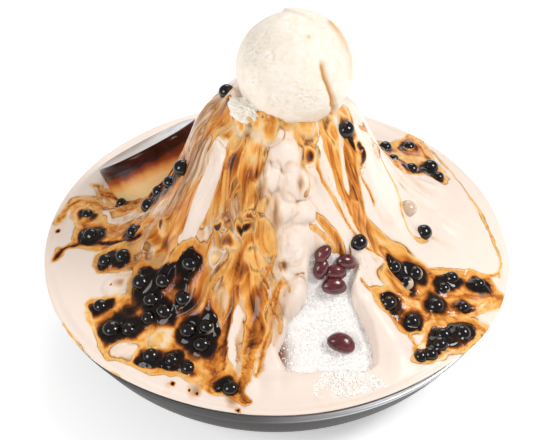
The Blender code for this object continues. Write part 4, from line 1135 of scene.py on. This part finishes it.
def veils(parts, pixels):
    """The cream over each pearl at each of its points: it covers the low side first."""
    found = []
    for (verts, _), pixel in zip(parts, pixels):
        low = (verts[:, 2].mean() - verts[:, 2] + verts[:, 0] - verts[:, 0].mean()) / PEARL_RADIUS
        covered = VEILED.get(pixel, 0.0)
        found.append(covered + 0.35 * low * (covered > 0))
    return np.concatenate(found)


def seated(column, row, radius, share=0.12):
    foot = landing(column, row, cream_height)
    return foot + outward(foot.x, foot.y, cream_height) * radius * share


def merged(parts):
    verts, faces, count = [], [], 0
    for v, f in parts:
        verts.append(v)
        faces.append(f + count)
        count += len(v)
    return np.concatenate(verts), np.concatenate(faces)


def make_pearls():
    material = pearl_material()
    for name, (_, pearls) in POOLS.items():
        parts = [pearl_mesh(seated(c, r, PEARL_RADIUS * s), s, 90 + i) for i, (c, r, s) in enumerate(pearls)]
        verts, faces = merged(parts)
        veil = {"veil": veils(parts, [(c, r) for c, r, _ in pearls])}
        piece(f"balls_{name}", verts, faces, material, [f"pearls_{name}"], veil)
    parts = []
    for i, (turn, reach) in enumerate(BACK_PEARLS):
        px, py = reach * MM * math.cos(math.radians(turn)), reach * MM * math.sin(math.radians(turn))
        centre = Vector((px, py, CREAM_LEVEL + float(cream_height(px, py)) + PEARL_RADIUS * 0.12))
        parts.append(pearl_mesh(centre, 0.95, 120 + i))
    verts, faces = merged(parts)
    piece("balls_back", verts, faces, material, ["pearls_back"], {"veil": np.zeros(len(verts))})
    for i, (name, (column, row, size)) in enumerate(SINGLE_PEARLS.items()):
        verts, faces = pearl_mesh(seated(column, row, PEARL_RADIUS * size), size, 140 + i)
        veil = {"veil": veils([(verts, faces)], [(column, row)])}
        piece(f"ball_{name}", verts, faces, material, [f"pearl_{name}"], veil)


def make_beans():
    material = bean_material()
    ahead = sight_line(*VIEW_CENTRE)[1]
    unit, faces = ball(1, 5)
    unit = unit / PEARL_RADIUS / 2
    for i, (column, row, size, turn) in enumerate(BEANS):
        foot = landing(column, row, mound_height, sink=CREAM_THICKNESS + 1.2 * MM)
        up = outward(foot.x, foot.y, ice_height)
        along = (Vector((1, 0, 0)) - up * up.x).normalized()
        along = Matrix.Rotation(math.radians(turn), 3, -ahead) @ along
        side = up.cross(along).normalized()
        place = np.array(Matrix((side.cross(up), side, up)).transposed())
        length, width = BEAN_LENGTH * size, BEAN_WIDTH * size
        bend = (2 * unit[:, 0]) ** 2
        across = unit[:, 1] * width - bend * width * 0.08
        verts = np.stack([unit[:, 0] * length, across, unit[:, 2] * width * 0.92], 1)
        verts *= (1 + 0.015 * noise(unit[:, 0] * 5, unit[:, 1] * 9, unit[:, 2] * 9, 150 + i))[:, None]
        verts = verts @ place.T + np.array(foot + up * BEAN_WIDTH * size * 0.3)
        piece(f"bean_{i + 1}", verts, faces, material, [f"red_bean_{i + 1}"])


def make_pudding():
    turn = Vector((0, 0, 1)).rotation_difference(PUDDING_AXIS).to_matrix().to_4x4()
    r = PUDDING_RADIUS
    h = PUDDING_HEIGHT - CARAMEL_HEIGHT - 0.1 * MM
    foot = [(r * 0.93, 0), (r * 0.95, 0.4 * MM), (r * 0.965, 1.4 * MM), (r * 0.975, h * 0.25),
            (r * 0.985, h * 0.5), (r, h)]
    profile = np.concatenate([dense([(0.01 * MM, 0), foot[0]], 20), dense(foot, 40)[1:],
                              dense([foot[-1], (0.01 * MM, h)], 8)[1:]])
    matrix = Matrix.Translation(PUDDING_TOP - PUDDING_AXIS * PUDDING_HEIGHT) @ turn
    verts, faces = turned_grid(profile, 120, matrix)
    up = np.repeat(profile[:, 1] / h, 120)
    piece("custard_body", verts, faces, custard_material(), ["pudding_custard"], {"up": up})
    h = CARAMEL_HEIGHT
    side = [(r, 0), (r * 1.003, h * 0.5), (r * 0.998, h - 1.5 * MM), (r * 0.985, h - 0.5 * MM),
            (r * 0.96, h - 0.05 * MM), (r * 0.93, h - 0.1 * MM)]
    profile = np.concatenate([dense([(0.01 * MM, 0), side[0]], 6), dense(side, 30)[1:],
                              dense([side[-1], (r * 0.5, h - 0.4 * MM), (0.01 * MM, h - 0.5 * MM)], 24)[1:]])
    matrix = Matrix.Translation(PUDDING_TOP - PUDDING_AXIS * CARAMEL_HEIGHT) @ turn
    verts, faces = turned_grid(profile, 120, matrix)
    piece("caramel_top", verts, faces, caramel_material(), ["pudding_caramel"])


def make_scoop():
    """The ball of ice cream, torn on its left, with the smooth lip that the scoop folded over its right."""
    verts, faces = ball(1, 7)
    d = verts / PEARL_RADIUS
    up = np.array((0, math.sin(VIEW_ELEVATION), math.cos(VIEW_ELEVATION)))
    near = np.array((0, -math.cos(VIEW_ELEVATION), math.sin(VIEW_ELEVATION)))
    u, v, w = d[:, 0], d @ up, d @ near
    edge_at = [-1, -0.69, -0.33, 0.02, 0.31, 0.62, 0.78, 1]
    edge = smooth_curve(v, edge_at, [0.68, 0.64, 0.54, 0.45, 0.50, 0.46, 0.22, -0.22])
    edge = edge + 0.05 * noise(v * 7, w * 7, 0.3, 161) - 0.25 * np.clip(-w, 0, 1)
    over = u - edge
    faint = rise(v, -0.05, 0.15) * (1 - rise(v, 0.42, 0.6))
    lip = rise(over, -0.02, 0.08) * (1 - faint) + rise(over, 0, 0.4) * faint
    facing = rise(w, -0.3, 0.2)
    groove = np.exp(-((over / 0.04) ** 2)) * facing * (1 - faint) * (0.4 + 0.6 * rise(-v, -0.1, 0.1))
    soft = fractal(d[:, 0] * 3, d[:, 1] * 3, d[:, 2] * 3, 162, 2)
    scraped = fractal(d[:, 0] * 9, d[:, 1] * 9, v * 40, 163, 3)
    crumbly = rise(fractal(d[:, 0] * 26, d[:, 1] * 26, d[:, 2] * 26, 164, 3), 0.0, 0.45)
    patches = np.exp(-(((u + 0.62) / 0.26) ** 2) - ((v - 0.3) / 0.28) ** 2)
    patches = patches + np.exp(-((u / 0.5) ** 2) - ((v + 0.55) / 0.3) ** 2)
    patches = patches + 0.5 * rise(noise(d[:, 0] * 3, d[:, 1] * 3, d[:, 2] * 3, 165), 0.2, 0.6)
    patches = np.clip(patches, 0, 1) * (1 - lip)
    swell = (0.3 + 0.9 * lip) * MM
    relief_height = soft * 0.5 + scraped * 0.16 - crumbly * patches * 0.55 - groove * 1.3
    radius = SCOOP_RADIUS + swell + relief_height * MM
    smear_line = [Vector(p) for p in ((0.60, 0.71), (0.80, 0.45), (0.93, 0.15), (0.94, -0.2))]
    smear, along = distance_to_line(u, v, smear_line)
    smear = np.exp(-((smear / 0.06) ** 2)) * (0.85 - 0.6 * along) * rise(w, 0, 0.15)
    dot = np.exp(-((np.hypot(u - 0.24, v - 0.42) / 0.035) ** 2)) * rise(w, 0, 0.2)
    caramel = np.clip(smear + groove * rise(-v, -0.1, 0.1) + 0.7 * dot, 0, 1)
    verts = d * radius[:, None] + np.array(SCOOP_CENTRE)
    look = ice_cream_material()
    piece("ice_cream_scoop", verts, faces, look, ["ice_cream"], {"caramel": caramel})


def make_skirt():
    """The crumb of ice cream at the foot of the scoop, in the part's own plain colour."""
    verts, faces = ball(1, 6)
    d = verts / PEARL_RADIUS
    torn = np.abs(fractal(d[:, 0] * 3.4, d[:, 1] * 4.2, d[:, 2] * 4.2, 172, 4))
    ragged = 1.05 + 0.22 * noise(d[:, 0] * 2.7, d[:, 1] * 2.7, d[:, 2] * 2.7, 171) - 0.55 * torn
    verts = d * np.array([10.5, 6.2, 6.2]) * MM * ragged[:, None]
    verts = verts @ np.array(Matrix.Rotation(math.radians(28), 3, "Y")).T
    foot = landing(250, 112, cream_height) + Vector((0, -3.2, 3.0)) * MM
    verts = verts + np.array(foot)
    plain = bpy.data.materials["ice_cream"]
    clean = {"caramel": np.zeros(len(verts))}
    piece("ice_cream_crumb", verts, faces, plain, ["ice_cream"], clean)


# Camera, light and floor


def make_stage():
    floor_mesh = bpy.data.meshes.new("floor")
    s = 4.0
    floor_mesh.from_pydata([(-s, -s, 0), (s, -s, 0), (s, s, 0), (-s, s, 0)], [], [(0, 1, 2, 3)])
    floor = bpy.data.objects.new("floor", floor_mesh)
    bpy.context.scene.collection.objects.link(floor)
    look = Shader("floor")
    look.set(Base_Color=(0.95, 0.95, 0.95, 1), Roughness=0.95)
    look.set(Emission_Color=(1, 1, 1, 1), Emission_Strength=0.42)
    floor_mesh.materials.append(look.material)


def add_light(name, place, size, power, colour=(1, 1, 1)):
    light = bpy.data.lights.new(name, "AREA")
    light.size, light.energy, light.color = size, power, colour
    made = bpy.data.objects.new(name, light)
    bpy.context.scene.collection.objects.link(made)
    made.location = place
    made.rotation_euler = (Vector((0, 0, 0.06)) - Vector(place)).to_track_quat("-Z", "Y").to_euler()


def make_lights():
    add_light("key", (0.78, -0.1, 0.9), 0.34, 8)
    add_light("fill", (-0.85, -0.7, 0.9), 0.6, 8.5)
    add_light("back", (0.1, 1.1, 0.9), 0.7, 5)
    bpy.context.scene.view_settings.view_transform = "Standard"
    world = bpy.data.worlds.new("studio")
    bpy.context.scene.world = world
    world.use_nodes = True
    background = world.node_tree.nodes["Background"]
    background.inputs["Color"].default_value = (1, 1, 1, 1)
    background.inputs["Strength"].default_value = 0.35


def make_camera():
    camera = bpy.data.cameras.new("camera")
    made = bpy.data.objects.new("camera", camera)
    bpy.context.scene.collection.objects.link(made)
    eye, _ = sight_line(*VIEW_CENTRE)
    made.location = eye
    made.rotation_euler = (math.pi / 2 - VIEW_ELEVATION, 0, 0)
    camera.sensor_width = 36
    camera.lens = 36 * VIEW_FOCAL / 550
    camera.shift_x = (275 - VIEW_CENTRE[0]) / 550
    camera.shift_y = (VIEW_CENTRE[1] - 220) / 550
    bpy.context.scene.camera = made


def main():
    make_camera()
    make_stage()
    make_lights()
    marbled = marbled_material()
    make_bowl()
    make_ice()
    surface = cream_surface()
    make_cream(marbled, surface)
    make_pools(marbled, surface)
    make_pearls()
    make_beans()
    make_pudding()
    make_scoop()
    make_skirt()


main()
